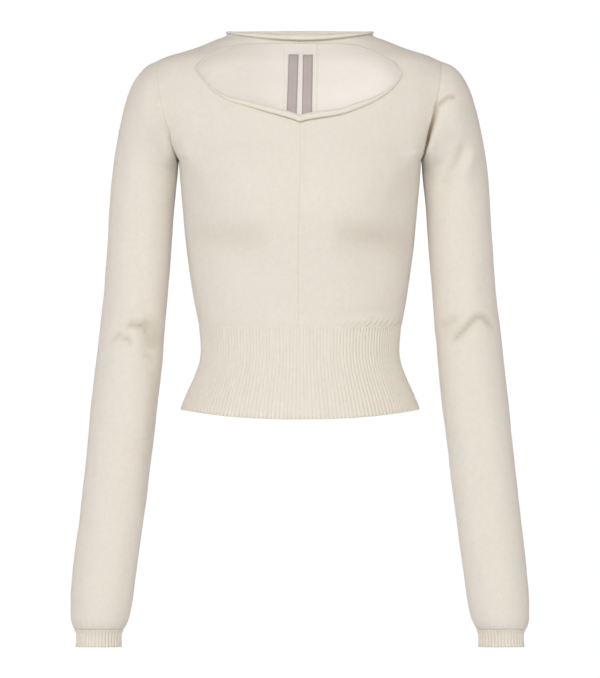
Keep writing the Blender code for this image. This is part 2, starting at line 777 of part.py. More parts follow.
def rolled_section(edge, outward, beyond, radius, end):
    """The closed outline of a curled edge: out from the wall, over the top and down in front of it."""
    thickness = min(ROLL_WALL, ROLL_WALL_MOST * radius)
    middle = radius - thickness / 2
    centre = edge + outward * (middle - thickness / 2 + ROLL_CLEARANCE)
    turns = np.radians(np.linspace(ROLL_START, end, ROLL_STEPS + 1))
    outer = [centre + radius * (math.cos(turn) * outward + math.sin(turn) * beyond) for turn in turns]
    inside = radius - thickness
    inner = [centre + inside * (math.cos(turn) * outward + math.sin(turn) * beyond) for turn in turns]
    return outer + inner[::-1]


def tube_of_sections(name, sections, closed):
    """A solid through sections of equal count, in a ring or with an end cap on each end."""
    count = len(sections[0])
    points = [point for section in sections for point in section]
    faces = []
    steps = len(sections) if closed else len(sections) - 1
    for step in range(steps):
        low = step * count
        high = (step + 1) % len(sections) * count
        for number in range(count):
            after = (number + 1) % count
            faces.append([low + number, low + after, high + after, high + number])
    if not closed:
        last = (len(sections) - 1) * count
        half = count // 2
        for start in (0, last):
            for number in range(half - 1):
                across = start + count - 1 - number
                faces.append([start + number, start + number + 1, across - 1, across])
    make_object(name, points, faces)


def make_neck_roll(normals):
    """The curled edge round the neckline, thick at the centre front and thin at the corners."""
    places = []
    for back in (False, True):
        middle = ROLL_BACK_RADIUS if back else ROLL_FRONT_RADIUS
        columns = range(-TIP_COLUMN, TIP_COLUMN) if not back else range(TIP_COLUMN, -TIP_COLUMN, -1)
        for column in columns:
            x, z = neck_place(abs(column), back)
            point = body_point(math.copysign(x, column), z, back)
            thin = math.sin(math.pi / 2 * abs(column) / TIP_COLUMN) ** 2
            places.append((point, middle + (ROLL_CORNER_RADIUS - middle) * thin))
    sections = []
    for number, (point, radius) in enumerate(places):
        before = places[number - 1][0]
        after = places[(number + 1) % len(places)][0]
        run = (after - before) / np.linalg.norm(after - before)
        outward = normals[key_of(point)]
        outward = outward - run * (outward @ run)
        outward /= np.linalg.norm(outward)
        beyond = np.cross(outward, run)
        beyond *= math.copysign(1.0, beyond[2])
        sections.append(rolled_section(point, outward, beyond, radius, NECK_ROLL_END))
    tube_of_sections("neck_roll", sections, True)


def make_cutout_roll(name, side, normals):
    """The curled lower edge of the cutout on one front half, from the centre front to the tip."""
    radius_at = table_curve(CUTOUT_ROLL, "left_radius" if side < 0 else "right_radius")
    places = [cutout_edge(CUTOUT_LOWER, side, edge_share(column)) for column in range(TIP_COLUMN + 1)]
    points = [body_point(side * x, z, False) for x, z in places]
    sections = []
    for column, point in enumerate(points):
        before = points[max(column - 1, 0)]
        after = points[min(column + 1, TIP_COLUMN)]
        run = (after - before) * side
        if column == 0:
            run = np.array([run[0], 0.0, 0.0])
        outward = normals[key_of(point)] * np.array([1.0 if column else 0.0, 1.0, 1.0])
        outward /= np.linalg.norm(outward)
        beyond = np.cross(run, outward)
        beyond /= -np.linalg.norm(beyond)
        section = rolled_section(point, outward, beyond, radius_at(edge_share(column)), CUTOUT_ROLL_END)
        if column == 0:
            section = [corner + np.array([side * SEAM_GAP / 2, 0.0, 0.0]) for corner in section]
        sections.append(section)
    tube_of_sections(name, sections, False)


def back_inside(back, x, height, lift):
    """A point over the inner side of the back's wall, and the direction out through its cloth."""
    step = 1.0
    across = body_point(x + step, height, True) - body_point(x - step, height, True)
    up = body_point(x, height + step, True) - body_point(x, height - step, True)
    outward = np.cross(up, across)
    outward /= np.linalg.norm(outward)
    hit, *_ = back.ray_cast(Vector((x * MM, 0.0, height * MM)), Vector((0.0, 1.0, 0.0)))
    return np.array(hit) / MM - outward * lift, outward


def make_strip(back, strip):
    """A flat piece on the inner side of the back's mesh."""
    places = []
    for row in range(STRIP_ROWS + 1):
        up = row / STRIP_ROWS
        centre = strip.bottom_x + (strip.top_x - strip.bottom_x) * up
        height = strip.bottom_z + (strip.top_z - strip.bottom_z) * up
        for column in range(strip.columns + 1):
            x = centre + strip.width * (column / strip.columns - 0.5)
            places.append(back_inside(back, x, height, strip.lift))
    polygons = []
    for row in range(STRIP_ROWS):
        for column in range(strip.columns):
            first = row * (strip.columns + 1) + column
            above = first + strip.columns + 1
            polygons.append([first, above, above + 1, first + 1])
    points = [point for point, _ in places]
    directions = [outward for _, outward in places]
    make_object(strip.name, *wall_mesh(points, polygons, directions, strip.thickness), strip.colour)


def make_strips():
    """The knit strip down the centre back, and the two bare tapes that are sewn on it."""
    mesh = bpy.data.objects["back"].data
    corners = [vertex.co for vertex in mesh.vertices]
    back = BVHTree.FromPolygons(corners, [list(polygon.vertices) for polygon in mesh.polygons])
    for strip in STRIPS:
        make_strip(back, strip)


def main():
    for old in list(bpy.data.objects):
        bpy.data.objects.remove(old, do_unlink=True)
    normals = make_panels()
    make_hem()
    make_cuff("cuff_left", -1)
    make_cuff("cuff_right", 1)
    make_neck_roll(normals)
    make_cutout_roll("cutout_roll_left", -1, normals)
    make_cutout_roll("cutout_roll_right", 1, normals)
    make_strips()


main()
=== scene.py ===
"""Cropped knit sweater with a lens-shaped cutout under its neckband, dressed for display.

Points are worked out in millimetres and become metres when a mesh is made. +Z is up and the front faces -Y.
Each piece is a thin closed wall on the form of its solid: outer points first, then those moved in.
"""

import math
from collections import namedtuple
from functools import lru_cache

import bmesh
import bpy
import numpy as np
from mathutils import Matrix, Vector, noise
from mathutils.bvhtree import BVHTree


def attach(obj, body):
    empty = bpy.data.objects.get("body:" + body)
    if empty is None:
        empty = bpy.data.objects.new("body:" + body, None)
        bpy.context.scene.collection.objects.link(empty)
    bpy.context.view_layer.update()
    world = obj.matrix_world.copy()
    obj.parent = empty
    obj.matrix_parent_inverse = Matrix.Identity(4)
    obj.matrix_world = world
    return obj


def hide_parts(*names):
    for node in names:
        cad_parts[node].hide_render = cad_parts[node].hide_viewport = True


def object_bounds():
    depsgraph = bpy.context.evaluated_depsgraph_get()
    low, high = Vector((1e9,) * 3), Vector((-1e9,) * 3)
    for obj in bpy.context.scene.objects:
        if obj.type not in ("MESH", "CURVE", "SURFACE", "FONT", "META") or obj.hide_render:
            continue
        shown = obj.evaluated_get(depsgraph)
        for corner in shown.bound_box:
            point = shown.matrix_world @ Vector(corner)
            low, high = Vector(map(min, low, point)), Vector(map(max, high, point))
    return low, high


bl_info = {
    "name": "Cutout Knit Sweater",
    "version": (1, 0, 0),
    "blender": (4, 5, 0),
    "location": "3D View > Sidebar > Sweater",
    "description": "Makes the pieces of a cropped knit sweater and a plain stage for it",
    "category": "Add Mesh",
}

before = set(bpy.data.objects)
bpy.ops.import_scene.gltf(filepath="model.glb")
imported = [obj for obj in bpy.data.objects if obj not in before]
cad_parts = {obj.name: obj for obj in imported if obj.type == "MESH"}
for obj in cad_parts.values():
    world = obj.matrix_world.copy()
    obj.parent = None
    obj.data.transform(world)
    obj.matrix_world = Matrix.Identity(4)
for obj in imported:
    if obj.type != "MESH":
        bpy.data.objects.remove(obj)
CAD_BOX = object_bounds()

MM = 0.001

# Cloth
WALL = 1.5

# Body form
SHOULDER_START_X = 92.6
SHOULDER_TIP_X = 179.3
SHOULDER_TIP_Z = -30.5
UNDERARM_Z = -155.0
ARMHOLE_DEPTHS = (50.0, 55.0)  # front and back, as in every pair of this kind
ARMHOLE_ROUNDNESS = 2.15
FULLNESS = 7.0
FULLNESS_X = 74.0
FULLNESS_Z = -208.0
FULLNESS_SPREAD = 46.0
FULLNESS_END_X = 151.0
FULLNESS_FADE = 30.0

UnderbustDepth = namedtuple("UnderbustDepth", "x depth")
UNDERBUST_DEPTHS = [
    UnderbustDepth(-150.0, 7.0),
    UnderbustDepth(-80.0, 7.0),
    UnderbustDepth(-55.0, 4.4),
    UnderbustDepth(-30.0, 1.2),
    UnderbustDepth(0.0, 0.8),
    UnderbustDepth(40.0, 1.4),
    UnderbustDepth(60.0, 3.8),
    UnderbustDepth(82.0, 8.0),
    UnderbustDepth(105.0, 11.0),
    UnderbustDepth(125.0, 12.5),
    UnderbustDepth(150.0, 12.5),
]
UNDERBUST_Z = -260.0
UNDERBUST_SPREADS = (18.0, 42.0)  # above and below

# Neck and cutout
NECK_CORNER_X = 90.2
NECK_CORNER_Z = 5.4
NECK_MIDDLE_Z = (-2.7, 5.2)
ROLL_RADII = (3.2, 3.0)
ROLL_CORNER_RADIUS = 1.6
ROLL_CLEARANCE = 0.3
ROLL_WALL = 1.6
ROLL_WALL_MOST = 0.62
ROLL_START = 166.0  # in degrees up from straight out
CUTOUT_ROLL_END = -100.0
NECK_ROLL_END = -78.0
ROLL_STEPS = 20
LIP_TURNS = np.array([0.16, 0.3, 0.16])  # the cloth's rounded ends: how far three points stand out
LIP_SHARES = np.array([0.2, 0.5, 0.8])  # and where they lie in its thickness
NECK_ROLL_COLUMNS = (260, 220)
CUTOUT_ROLL_COLUMNS = 200
CUTOUT_ROLL_START = 4  # in columns
CUTOUT_ROLL_CROWDING = 0.35
EDGE_SMOOTHING = 2  # in columns
NORMAL_SMOOTHING = 4
BACK_YOKE_RISE = 8.0

# The centre front seam's drift to the left, below this height
CENTRE_DRIFT = 2.2
CENTRE_DRIFT_Z = -150.0
CENTRE_DRIFT_FALL = 150.0
CENTRE_DRIFT_SPREAD = 26.0

# Rib hem and cuffs
RIB_SEAM_SIDE_Z = -360.0
RIB_SEAM_MIDDLE_Z = (-362.0, -360.0)
HEM_SIDE_Z = -465.0
HEM_MIDDLE_Z = (-476.8, -468.0)
HEM_SPACING_Z = -425.0
HEM_RIBS = 160
HEM_SLIMMING = 0.7
HEM_WAIST_Z = -404.0
HEM_WAIST_SPREAD = 26.0
HEM_RIB_PITCH = 5.1  # as knitted
SEAM_GAP = 0.02
CUFF_GAP = 0.15
CUFF_RIBS = 38
CUFF_RIB_PITCH = 4.3
CUFF_SEAM_Z = -739.5
CUFF_BOTTOM_Z = -761.0
CUFF_MIDDLE_X = 250.6
CUFF_MIDDLE_Y = -36.0

# Panel columns run from the centre to the side, and the cutout's tip lies on one of them
COLUMNS = 14
TIP_COLUMN = 10
TIP_CROWDING = 1.25
COLUMN_COUNTS = ((130, 8, 40), (60, 6, 32))  # up to the tip, beside the neck and under the shoulder
GRID_CROWDING = 0.7
STRAP_STRAIGHTNESS = 0.6
STRAP_STRAIGHT_COLUMNS = (6.5, 8.5)  # full before the first and none after the last
SIDE_ROWS = 64
ARMHOLE_LOW_ROWS = 36
ARMHOLE_HIGH_ROWS = 24
SLEEVE_ROUNDNESS = 2.1
SLEEVE_RINGS = (34, 180, 34)
SLEEVE_FINE_STRETCH = 30.0  # next to the armhole and the cuff
SLEEVE_CROWDING = 0.6

# The cloth near the arms. A key of -1 is for the left side and 1 for the right.
ARMHOLE_FOLDS = {-1: 2.5, 1: 7.0}
UNDERARM_FILL = 0.3
UNDERARM_FILL_X = 155.0
UNDERARM_FILL_Z = -150.0
UNDERARM_FILL_SPREAD = 15.0
RIGHT_ARMHOLE_SHIFT = 2.8
RIGHT_ARMHOLE_SHIFT_X = 172.0
RIGHT_ARMHOLE_SHIFT_SPREAD = 17.0
RIGHT_ARMHOLE_SHIFT_RISE = 16.0

FRONT, BACK = 0, 1

WELD_DISTANCE = 0.005
MEETING_DISTANCE = 0.01

# An edge sharper than this shows as one
WALL_SHARPNESS = math.radians(55)
LOOP_SHARPNESS = math.radians(60)

# The body's form, down from the shoulders
Depth = namedtuple("Depth", "height front back roundness")
DEPTHS = [
    Depth(8.0, 48.0, 55.0, 2.2),
    Depth(-10.0, 54.0, 64.0, 2.25),
    Depth(-30.0, 64.0, 76.0, 2.3),
    Depth(-60.0, 78.0, 90.0, 2.3),
    Depth(-100.0, 94.0, 100.0, 2.3),
    Depth(-128.0, 101.5, 103.0, 2.45),
    Depth(-155.0, 107.5, 103.0, 2.95),
    Depth(-182.0, 111.0, 102.0, 2.6),
    Depth(-215.0, 110.0, 98.5, 2.35),
    Depth(-250.0, 105.0, 93.0, 2.3),
    Depth(-300.0, 94.0, 84.0, 2.3),
    Depth(-350.0, 87.0, 77.5, 2.3),
    Depth(-388.0, 85.0, 76.5, 2.3),
    Depth(-425.0, 92.0, 87.0, 2.3),
    Depth(-455.0, 101.0, 99.0, 2.3),
    Depth(-478.0, 106.0, 104.0, 2.3),
]

Width = namedtuple("Width", "height half_width")
SIDES = [
    Width(-155.0, 151.3),
    Width(-195.0, 148.2),
    Width(-230.0, 145.4),
    Width(-262.0, 142.2),
    Width(-292.0, 138.3),
    Width(-330.0, 132.4),
    Width(-350.0, 128.4),
    Width(-366.0, 125.6),
    Width(-390.0, 124.2),
    Width(-402.0, 125.4),
    Width(-427.0, 133.4),
    Width(-447.0, 142.2),
    Width(-466.0, 149.6),
    Width(-478.0, 153.0),
]
SHOULDERS = [
    Width(SHOULDER_TIP_Z, SHOULDER_TIP_X),
    Width(-22.8, 160.5),
    Width(-18.0, 143.0),
    Width(-12.2, 126.0),
    Width(-4.2, 107.0),
    Width(1.5, SHOULDER_START_X),
    Width(NECK_CORNER_Z, NECK_CORNER_X),
    Width(12.0, NECK_CORNER_X),
]

Armhole = namedtuple("Armhole", "height front_x back_x")
ARMHOLE = [
    Armhole(UNDERARM_Z, 151.3, 151.3),
    Armhole(-141.0, 158.0, 158.6),
    Armhole(-119.0, 163.5, 165.0),
    Armhole(-102.0, 168.6, 170.4),
    Armhole(-77.0, 174.2, 175.6),
    Armhole(-52.0, 178.0, 178.5),
    Armhole(SHOULDER_TIP_Z, SHOULDER_TIP_X, SHOULDER_TIP_X),
]

# The cutout's edges, from the centre front to the tip, with each x as a distance from the centre
Edge = namedtuple("Edge", "left_x left_z right_x right_z")
CUTOUT_LOWER = [
    Edge(0.0, -103.9, 0.0, -103.9),
    Edge(8.0, -100.7, 8.0, -101.5),
    Edge(28.0, -94.9, 28.0, -98.3),
    Edge(48.0, -89.6, 48.0, -95.2),
    Edge(68.0, -84.2, 76.0, -85.9),
    Edge(81.0, -80.8, 88.0, -81.2),
    Edge(92.0, -76.9, 97.0, -76.6),
    Edge(101.6, -71.8, 106.0, -71.0),
    Edge(110.0, -65.6, 112.0, -66.5),
    Edge(116.4, -58.9, 117.6, -61.0),
    Edge(122.2, -51.9, 122.0, -55.6),
    Edge(127.4, -46.2, 125.4, -50.9),
    Edge(130.8, -42.0, 127.0, -46.0),
]
CUTOUT_ROLL_DEPTH = 0.72  # of its height
CUTOUT_UPPER = [
    Edge(0.0, -9.6, 0.0, -9.6),
    Edge(40.0, -9.4, 40.0, -9.4),
    Edge(72.0, -9.3, 66.0, -10.2),
    Edge(88.0, -11.9, 81.8, -14.6),
    Edge(101.6, -16.9, 93.0, -19.4),
    Edge(112.0, -22.1, 104.0, -24.8),
    Edge(120.8, -27.8, 113.0, -29.6),
    Edge(125.2, -31.6, 118.6, -33.5),
    Edge(128.4, -35.2, 122.6, -37.4),
    Edge(130.3, -38.6, 125.4, -41.4),
    Edge(130.8, -42.0, 127.0, -46.0),
]
Roll = namedtuple("Roll", "share left_radius right_radius")
CUTOUT_ROLL = [
    Roll(0.0, 3.9, 3.9),
    Roll(0.15, 4.2, 4.3),
    Roll(0.45, 3.4, 3.8),
    Roll(0.7, 2.0, 2.7),
    Roll(0.85, 1.3, 1.7),
    Roll(1.0, 0.9, 0.9),
]

# Rings of a sleeve, down from the armhole. bow is how far a ring's middle stands out past a straight line.
Sleeve = namedtuple("Sleeve", "outer_x outer_z inner_x inner_z bow front back centre_y")
SLEEVE = [
    Sleeve(189.0, -34.8, 151.9, -157.6, 8.5, 53.0, 57.0, 0.0),
    Sleeve(200.5, -45.6, 152.3, -160.2, 7.5, 55.0, 57.0, 0.0),
    Sleeve(210.8, -63.0, 152.6, -162.8, 6.0, 55.0, 56.0, 0.5),
    Sleeve(218.4, -85.0, 152.8, -165.4, 4.5, 53.5, 54.0, 1.0),
    Sleeve(224.6, -110.0, 153.0, -168.2, 3.0, 51.0, 52.0, 1.5),
    Sleeve(230.0, -138.0, 153.3, -172.5, 1.5, 48.0, 49.5, 2.0),
    Sleeve(234.5, -171.0, 154.2, -181.0, 0.5, 45.5, 47.0, 2.0),
    Sleeve(237.6, -205.0, 156.6, -206.0, 0.0, 44.0, 45.0, 2.0),
    Sleeve(240.8, -262.0, 160.3, -262.0, 0.0, 43.0, 43.5, 1.5),
    Sleeve(245.0, -320.0, 165.0, -320.0, 0.0, 42.0, 43.0, 0.0),
    Sleeve(247.2, -340.0, 166.6, -340.0, 0.0, 42.0, 43.0, -1.0),
    Sleeve(248.9, -353.0, 167.6, -353.0, 0.0, 42.0, 43.0, -2.0),
    Sleeve(250.3, -365.0, 168.4, -365.0, 0.0, 41.5, 42.5, -3.0),
    Sleeve(251.7, -378.0, 169.8, -378.0, 0.0, 41.0, 42.0, -4.2),
    Sleeve(253.6, -396.0, 171.2, -396.0, 0.0, 40.5, 41.5, -6.0),
    Sleeve(259.0, -442.0, 175.8, -442.0, 0.0, 39.0, 40.0, -11.0),
    Sleeve(266.6, -520.0, 184.8, -520.0, 0.0, 37.0, 38.0, -19.0),
    Sleeve(275.4, -600.0, 194.6, -600.0, 0.0, 35.5, 36.0, -26.5),
    Sleeve(284.2, -676.0, 205.2, -676.0, 0.0, 34.5, 35.0, -32.5),
    Sleeve(286.0, -706.0, 208.8, -706.0, 0.0, 34.0, 34.5, -34.5),
    Sleeve(285.8, -725.0, 213.0, -725.0, 0.0, 32.0, 32.5, -35.5),
    Sleeve(283.8, -734.0, 216.6, -734.0, 0.0, 29.5, 30.0, -36.0),
    Sleeve(281.6, CUFF_SEAM_Z, 219.6, CUFF_SEAM_Z, 0.0, 27.0, 27.0, -36.0),
]
CUFF = [
    Sleeve(281.2, CUFF_SEAM_Z - 0.2, 220.0, CUFF_SEAM_Z - 0.2, 0.0, 26.6, 26.6, -36.0),
    Sleeve(278.6, -746.0, 222.8, -746.0, 0.0, 24.0, 24.0, -36.0),
    Sleeve(278.6, -752.0, 223.0, -752.0, 0.0, 23.6, 23.6, -36.0),
    Sleeve(279.6, CUFF_BOTTOM_Z, 222.6, CUFF_BOTTOM_Z, 0.0, 24.2, 24.2, -36.0),
]

# Creases along lines of (x, z), on the front (-1) or the back (1) of the garment. A depth below 0 is a ridge,
# a depth of 0 only paints shade on the cloth, and the fourth number is how dark the shade painted along its
# bottom is, from 0 to 1.
Crease = namedtuple("Crease", "face depth spread tint places")
CREASE_POINTS = 24
CREASE_END_FADE = 0.2  # of its length
CREASE_DEPTHS = (0.25, 1.0)  # as shares: at its ends and between them
CREASE_BRIM = 0.3  # how far the cloth stands out beside it, as a share of the depth
CREASE_BRIM_PLACE = 2.0  # in spreads from the bottom
CREASE_BRIM_SHARPNESS = 1.6
CREASE_REACH = 4.0  # in spreads
CREASE_TURN = 1.6  # the higher, the further round the cloth a crease stays full
CREASES = [
    # The right elbow, front
    Crease(
        -1, 4.2, 3.8, 0.3,
        ((184, -384), (195, -375), (203, -368), (210, -361), (217, -354),
         (222, -350), (227, -349.5), (232, -352.5), (238, -358), (246, -367)),
    ),
    Crease(-1, -1.6, 4.6, 0.0, ((186, -369), (198, -362), (206, -354), (214, -345))),
    Crease(-1, 2.2, 5.5, 0.18, ((174, -361), (186, -356), (198, -350))),
    Crease(-1, 1.2, 9.0, 0.0, ((233, -285), (233, -308), (231, -334))),
    # The left elbow, front
    Crease(-1, 3.4, 3.6, 0.36, ((-220, -362), (-210, -359.5), (-200, -360.5), (-191, -366), (-185, -374))),
    Crease(-1, 0.9, 11.0, 0.27, ((-198, -350), (-190, -361), (-184, -376), (-184, -394))),
    Crease(-1, -1.8, 6.0, 0.0, ((-218, -351), (-203, -348), (-189, -353))),
    Crease(-1, 3.0, 2.8, 0.3, ((-237, -377), (-226, -373.5), (-217, -376), (-207, -384))),
    Crease(-1, -2.2, 3.6, 0.0, ((-231, -380), (-221, -378.5), (-213, -382.5))),
    Crease(-1, 2.0, 5.0, 0.14, ((-196, -396), (-187, -399), (-180, -405))),
    Crease(-1, 1.5, 9.0, 0.0, ((-198, -309), (-192, -360), (-187, -431))),
    # Under the right arm and round its sleeve head
    Crease(-1, 3.2, 6.0, 0.06, ((208, -129), (199, -157), (187, -175), (172, -195))),
    Crease(-1, -1.6, 8.0, 0.0, ((220, -138), (212, -163), (200, -184))),
    Crease(-1, 2.0, 2.8, 0.4, ((168, -89), (173, -84), (178, -80), (185, -75.5), (191, -75), (197, -77))),
    # Long soft troughs down the sleeves, and the shade inside the left forearm
    Crease(-1, 0.9, 9.0, 0.0, ((-176, -120), (-182, -150), (-178, -190))),
    Crease(-1, 0.8, 12.0, 0.0, ((-206, -196), (-200, -246), (-203, -300))),
    Crease(-1, 0.8, 12.0, 0.0, ((214, -200), (206, -250), (208, -300))),
    Crease(-1, 0.8, 12.0, 0.0, ((-236, -470), (-246, -540), (-258, -610))),
    Crease(-1, 0.8, 12.0, 0.0, ((222, -450), (226, -520), (232, -590))),
    Crease(-1, 0.0, 9.0, 0.2, ((-178, -395), (-181, -440), (-187, -520), (-196, -610))),
    # The front: from each underarm, under the bust and over the rib seam
    Crease(-1, 1.3, 9.0, 0.0, ((139, -176), (124, -200), (116, -222))),
    Crease(-1, 0.8, 8.0, 0.0, ((-140, -172), (-127, -190), (-118, -210))),
    Crease(-1, 0.0, 19.0, 0.125, ((30, -242), (80, -248), (122, -258), (162, -284))),
    Crease(-1, 0.0, 17.0, 0.07, ((-150, -244), (-105, -249), (-30, -254))),
    Crease(-1, 1.0, 5.0, 0.0, ((38, -347), (84, -345), (130, -343))),
    # The back of the elbows, then of the body and of the upper sleeves
    Crease(1, 3.0, 7.0, 0.0, ((186, -372), (206, -362), (222, -366), (242, -380))),
    Crease(1, 2.2, 6.0, 0.0, ((178, -352), (196, -344), (214, -346))),
    Crease(1, 3.0, 7.0, 0.0, ((-240, -366), (-220, -356), (-203, -360), (-184, -376))),
    Crease(1, 1.8, 6.0, 0.0, ((-226, -392), (-210, -388), (-196, -396))),
    Crease(1, 2.0, 8.0, 0.0, ((150, -150), (130, -168), (108, -178))),
    Crease(1, 2.0, 8.0, 0.0, ((-150, -150), (-128, -172), (-104, -182))),
    Crease(1, 1.6, 12.0, 0.0, ((-96, -312), (-40, -322), (24, -318), (88, -308))),
    Crease(1, 1.2, 9.0, 0.0, ((104, -342), (52, -346), (6, -344))),
    Crease(1, 1.0, 14.0, 0.0, ((4, -60), (-3, -150), (2, -240))),
    Crease(1, 1.6, 9.0, 0.0, ((206, -140), (196, -176), (176, -200))),
    Crease(1, 1.6, 9.0, 0.0, ((-206, -140), (-194, -180), (-172, -204))),
]

# A narrow trough, and a ridge that lies a little way off a line. A ridge that rises less than 0 is a hollow.
# The third number of a trough is how dark the shade painted along it is.
Trough = namedtuple("Trough", "depth spread tint")
Ridge = namedtuple("Ridge", "rise place spread")

# The sewn seams: troughs with shade painted along them
ARMHOLE_SEAMS = {-1: Trough(0.14, 0.8, 0.06), 1: Trough(0.35, 0.8, 0.15)}
SIDE_SEAM = Trough(0.7, 1.0, 0.2)
SHOULDER_SEAM = Trough(0.6, 1.0, 0.2)
CENTRE_SEAM = Trough(0.32, 0.7, 0.1)

# The fold along the front of an armhole, which is steeper on the panel than on the sleeve, with shade painted
# in it
ArmholeFold = namedtuple("ArmholeFold", "heights strengths depth panel_spread sleeve_spread tint")
ARMHOLE_VALLEYS = {
    -1: ArmholeFold(
        (-160, -153, -147, -138, -122, -105), (0.9, 0.8, 0.2, 0.06, 0.03, 0.0), 1.8, 3.2, 3.4, 0.62
    ),
    1: ArmholeFold(
        (-162, -152, -141, -128, -100, -86, -78), (0.1, 0.35, 0.9, 1.0, 0.7, 0.4, 0.0), 1.9, 1.9, 4.4, 0.86
    ),
}
ARMHOLE_VALLEY_TURNS = (0.3, 1.0)  # in half turns from the shoulder, down the front
ARMHOLE_VALLEY_Y = 4.0
ARMHOLE_VALLEY_FADE = 12.0

# Troughs under the curled edges, with a shadow line painted along them; a strength sets the depth and the
# painted shadow
ROLL_TROUGH_SPREAD = 1.2
ROLL_PAINTED_SHADE_SPREAD = 0.9
ROLL_TROUGH_DROP = 0.97  # of the roll's radius, below the edge
NECK_TROUGH_STRENGTHS = (0.4, 0.8)  # on the left and from the middle on
NECK_TROUGH_START_X = -70.0
NECK_TROUGH_RUN = 60.0
NECK_TROUGH_LOSS = 0.3  # at the corners
CUTOUT_TROUGH_DEPTH = 0.8
CUTOUT_TROUGH_STRENGTH = 0.75
CUTOUT_TROUGH_LOSS = {-1: 0.65, 1: 0.5}
CUTOUT_TROUGH_RUN = 0.62  # of the edge, from the centre front

# Short leaning gathers over the rib seam, stronger to the right of the front, with shade painted in their
# troughs
GATHER_TOP_Z = -320.0
GATHER_WIDTH = 7.3
GATHER_LEAN = 0.9
GATHER_DEPTH = 1.1
GATHER_HEIGHT = 5.5
GATHER_SWAY = (1.3, 17.0)  # how far the waves drift, and over what width
GATHER_PAINTED_SHADE = 0.2
GATHER_TURN = 1.7
GATHER_START_X = 15.0
GATHER_RUN = 80.0
FRONT_GATHERS = (0.12, 1.0)  # strengths on the left and on the right
BACK_GATHERS = 0.3
GATHER_START = 1.2  # how soon they rise above the seam
GATHER_PAINTED_SHADE_UP = 3.5
GATHER_PAINTED_SHADE_SPREAD = 3.0
RIB_SEAM = Trough(0.1, 0.6, 0.02)
RIB_SEAM_RIDGE = Ridge(0.3, 1.3, 0.9)

# Gathers of the sleeve over its cuff
CUFF_GATHERS = 19
CUFF_GATHER_DEPTH = 0.55
CUFF_GATHER_HEIGHT = 8.0
CUFF_GATHER_START = 2.0
CUFF_GATHER_SWAY = (1.7, 3)  # how far the waves drift, and how many times in a turn
CUFF_SEAM = Trough(0.6, 1.1, 0.0)

# Ridges along the front's cut edges, placed from the edge, and beside its centre seam, placed to the right
CUTOUT_EDGE_RIDGES = (Ridge(0.45, 0.0, 1.3), Ridge(-0.2, 3.4, 1.3))
CUTOUT_EDGE_STRENGTH = {-1: 0.6, 1: 1.0}
CENTRE_RIDGES = (Ridge(0.4, 4.2, 1.5), Ridge(0.2, -3.0, 1.4))
CENTRE_HOLLOWS = (Ridge(-0.22, 7.6, 1.0), Ridge(-0.12, 2.2, 0.8))
CENTRE_HOLLOW_Z = -190.0  # they are on the chest only
CENTRE_HOLLOW_FADE = 50.0
CENTRE_RIDGE_START = 4.0  # below the cutout's point

# Slow unevenness of the whole cloth
Unevenness = namedtuple("Unevenness", "depth size seed")
PANEL_UNEVENNESS = (Unevenness(0.35, 58.0, 1), Unevenness(0.16, 21.0, 2))
NECK_ROLL_UNEVENNESS = Unevenness(0.05, 26.0, 5)
CUTOUT_ROLL_UNEVENNESS = Unevenness(0.05, 22.0, 6)

# Flat pieces on the inner side of the centre back
Strip = namedtuple("Strip", "top_x top_z bottom_x bottom_z width lift thickness")
BACK_STRIP = Strip(0.3, -5.0, 0.3, -122.0, 44.0, 0.3, 1.1)
TAPES = {
    "label_left": Strip(-8.1, -18.9, -10.9, -103.0, 12.8, 1.7, 0.9),
    "label_right": Strip(9.9, -19.4, 8.7, -103.0, 12.8, 1.7, 0.9),
}
STRIP_COUNTS = (44, 90)  # columns and rows
TAPE_COUNTS = (26, 140)
TAPE_THREADS = (0.42, 0.36)  # the threads' widths, across and along
STRIP_THICKNESSES = (0.6, 1.0)  # as shares, at the very edge and inside it
STRIP_EDGE_WIDTH = 0.8

Sewing = namedtuple("Sewing", "inset pitch thickness round_ends")
STRIP_SEWING = Sewing(1.3, 2.4, 0.6, False)
TAPE_SEWING = Sewing(1.0, 2.5, 0.85, True)
STITCH_LENGTH = 1.3
STITCH_FLATTENING = 1.2


class Curve:
    """A smooth curve of numbers, or of arrays, over a table's keys. It never swings past a row's value."""

    def __init__(self, keys, values):
        order = np.argsort(keys)
        self.keys = np.array(keys, float)[order]
        self.values = np.array(values, float)[order]
        steps = np.diff(self.keys).reshape(-1, *[1] * (self.values.ndim - 1))
        slopes = np.diff(self.values, axis=0) / steps
        before, after = slopes[:-1], slopes[1:]
        weight_before = 2 * steps[1:] + steps[:-1]
        weight_after = steps[1:] + 2 * steps[:-1]
        same_way = before * after > 0
        one = np.where(same_way, before, 1.0)
        two = np.where(same_way, after, 1.0)
        inner = (weight_before + weight_after) / (weight_before / one + weight_after / two)
        self.slopes = np.concatenate([slopes[:1], np.where(same_way, inner, 0.0), slopes[-1:]])

    def __call__(self, key):
        key = np.clip(key, self.keys[0], self.keys[-1])
        row = np.clip(np.searchsorted(self.keys, key, side="right") - 1, 0, len(self.keys) - 2)
        step = self.keys[row + 1] - self.keys[row]
        t = (key - self.keys[row]) / step
        if self.values.ndim > 1:
            shape = np.shape(key) + (1,) * (self.values.ndim - 1)
            t, step = np.reshape(t, shape), np.reshape(step, shape)
        start = (1 + 2 * t) * (1 - t) ** 2 * self.values[row] + t * (1 - t) ** 2 * step * self.slopes[row]
        end = t**2 * (3 - 2 * t) * self.values[row + 1] + t**2 * (t - 1) * step * self.slopes[row + 1]
        return start + end


def table_curve(table, column):
    return Curve([row[0] for row in table], [getattr(row, column) for row in table])


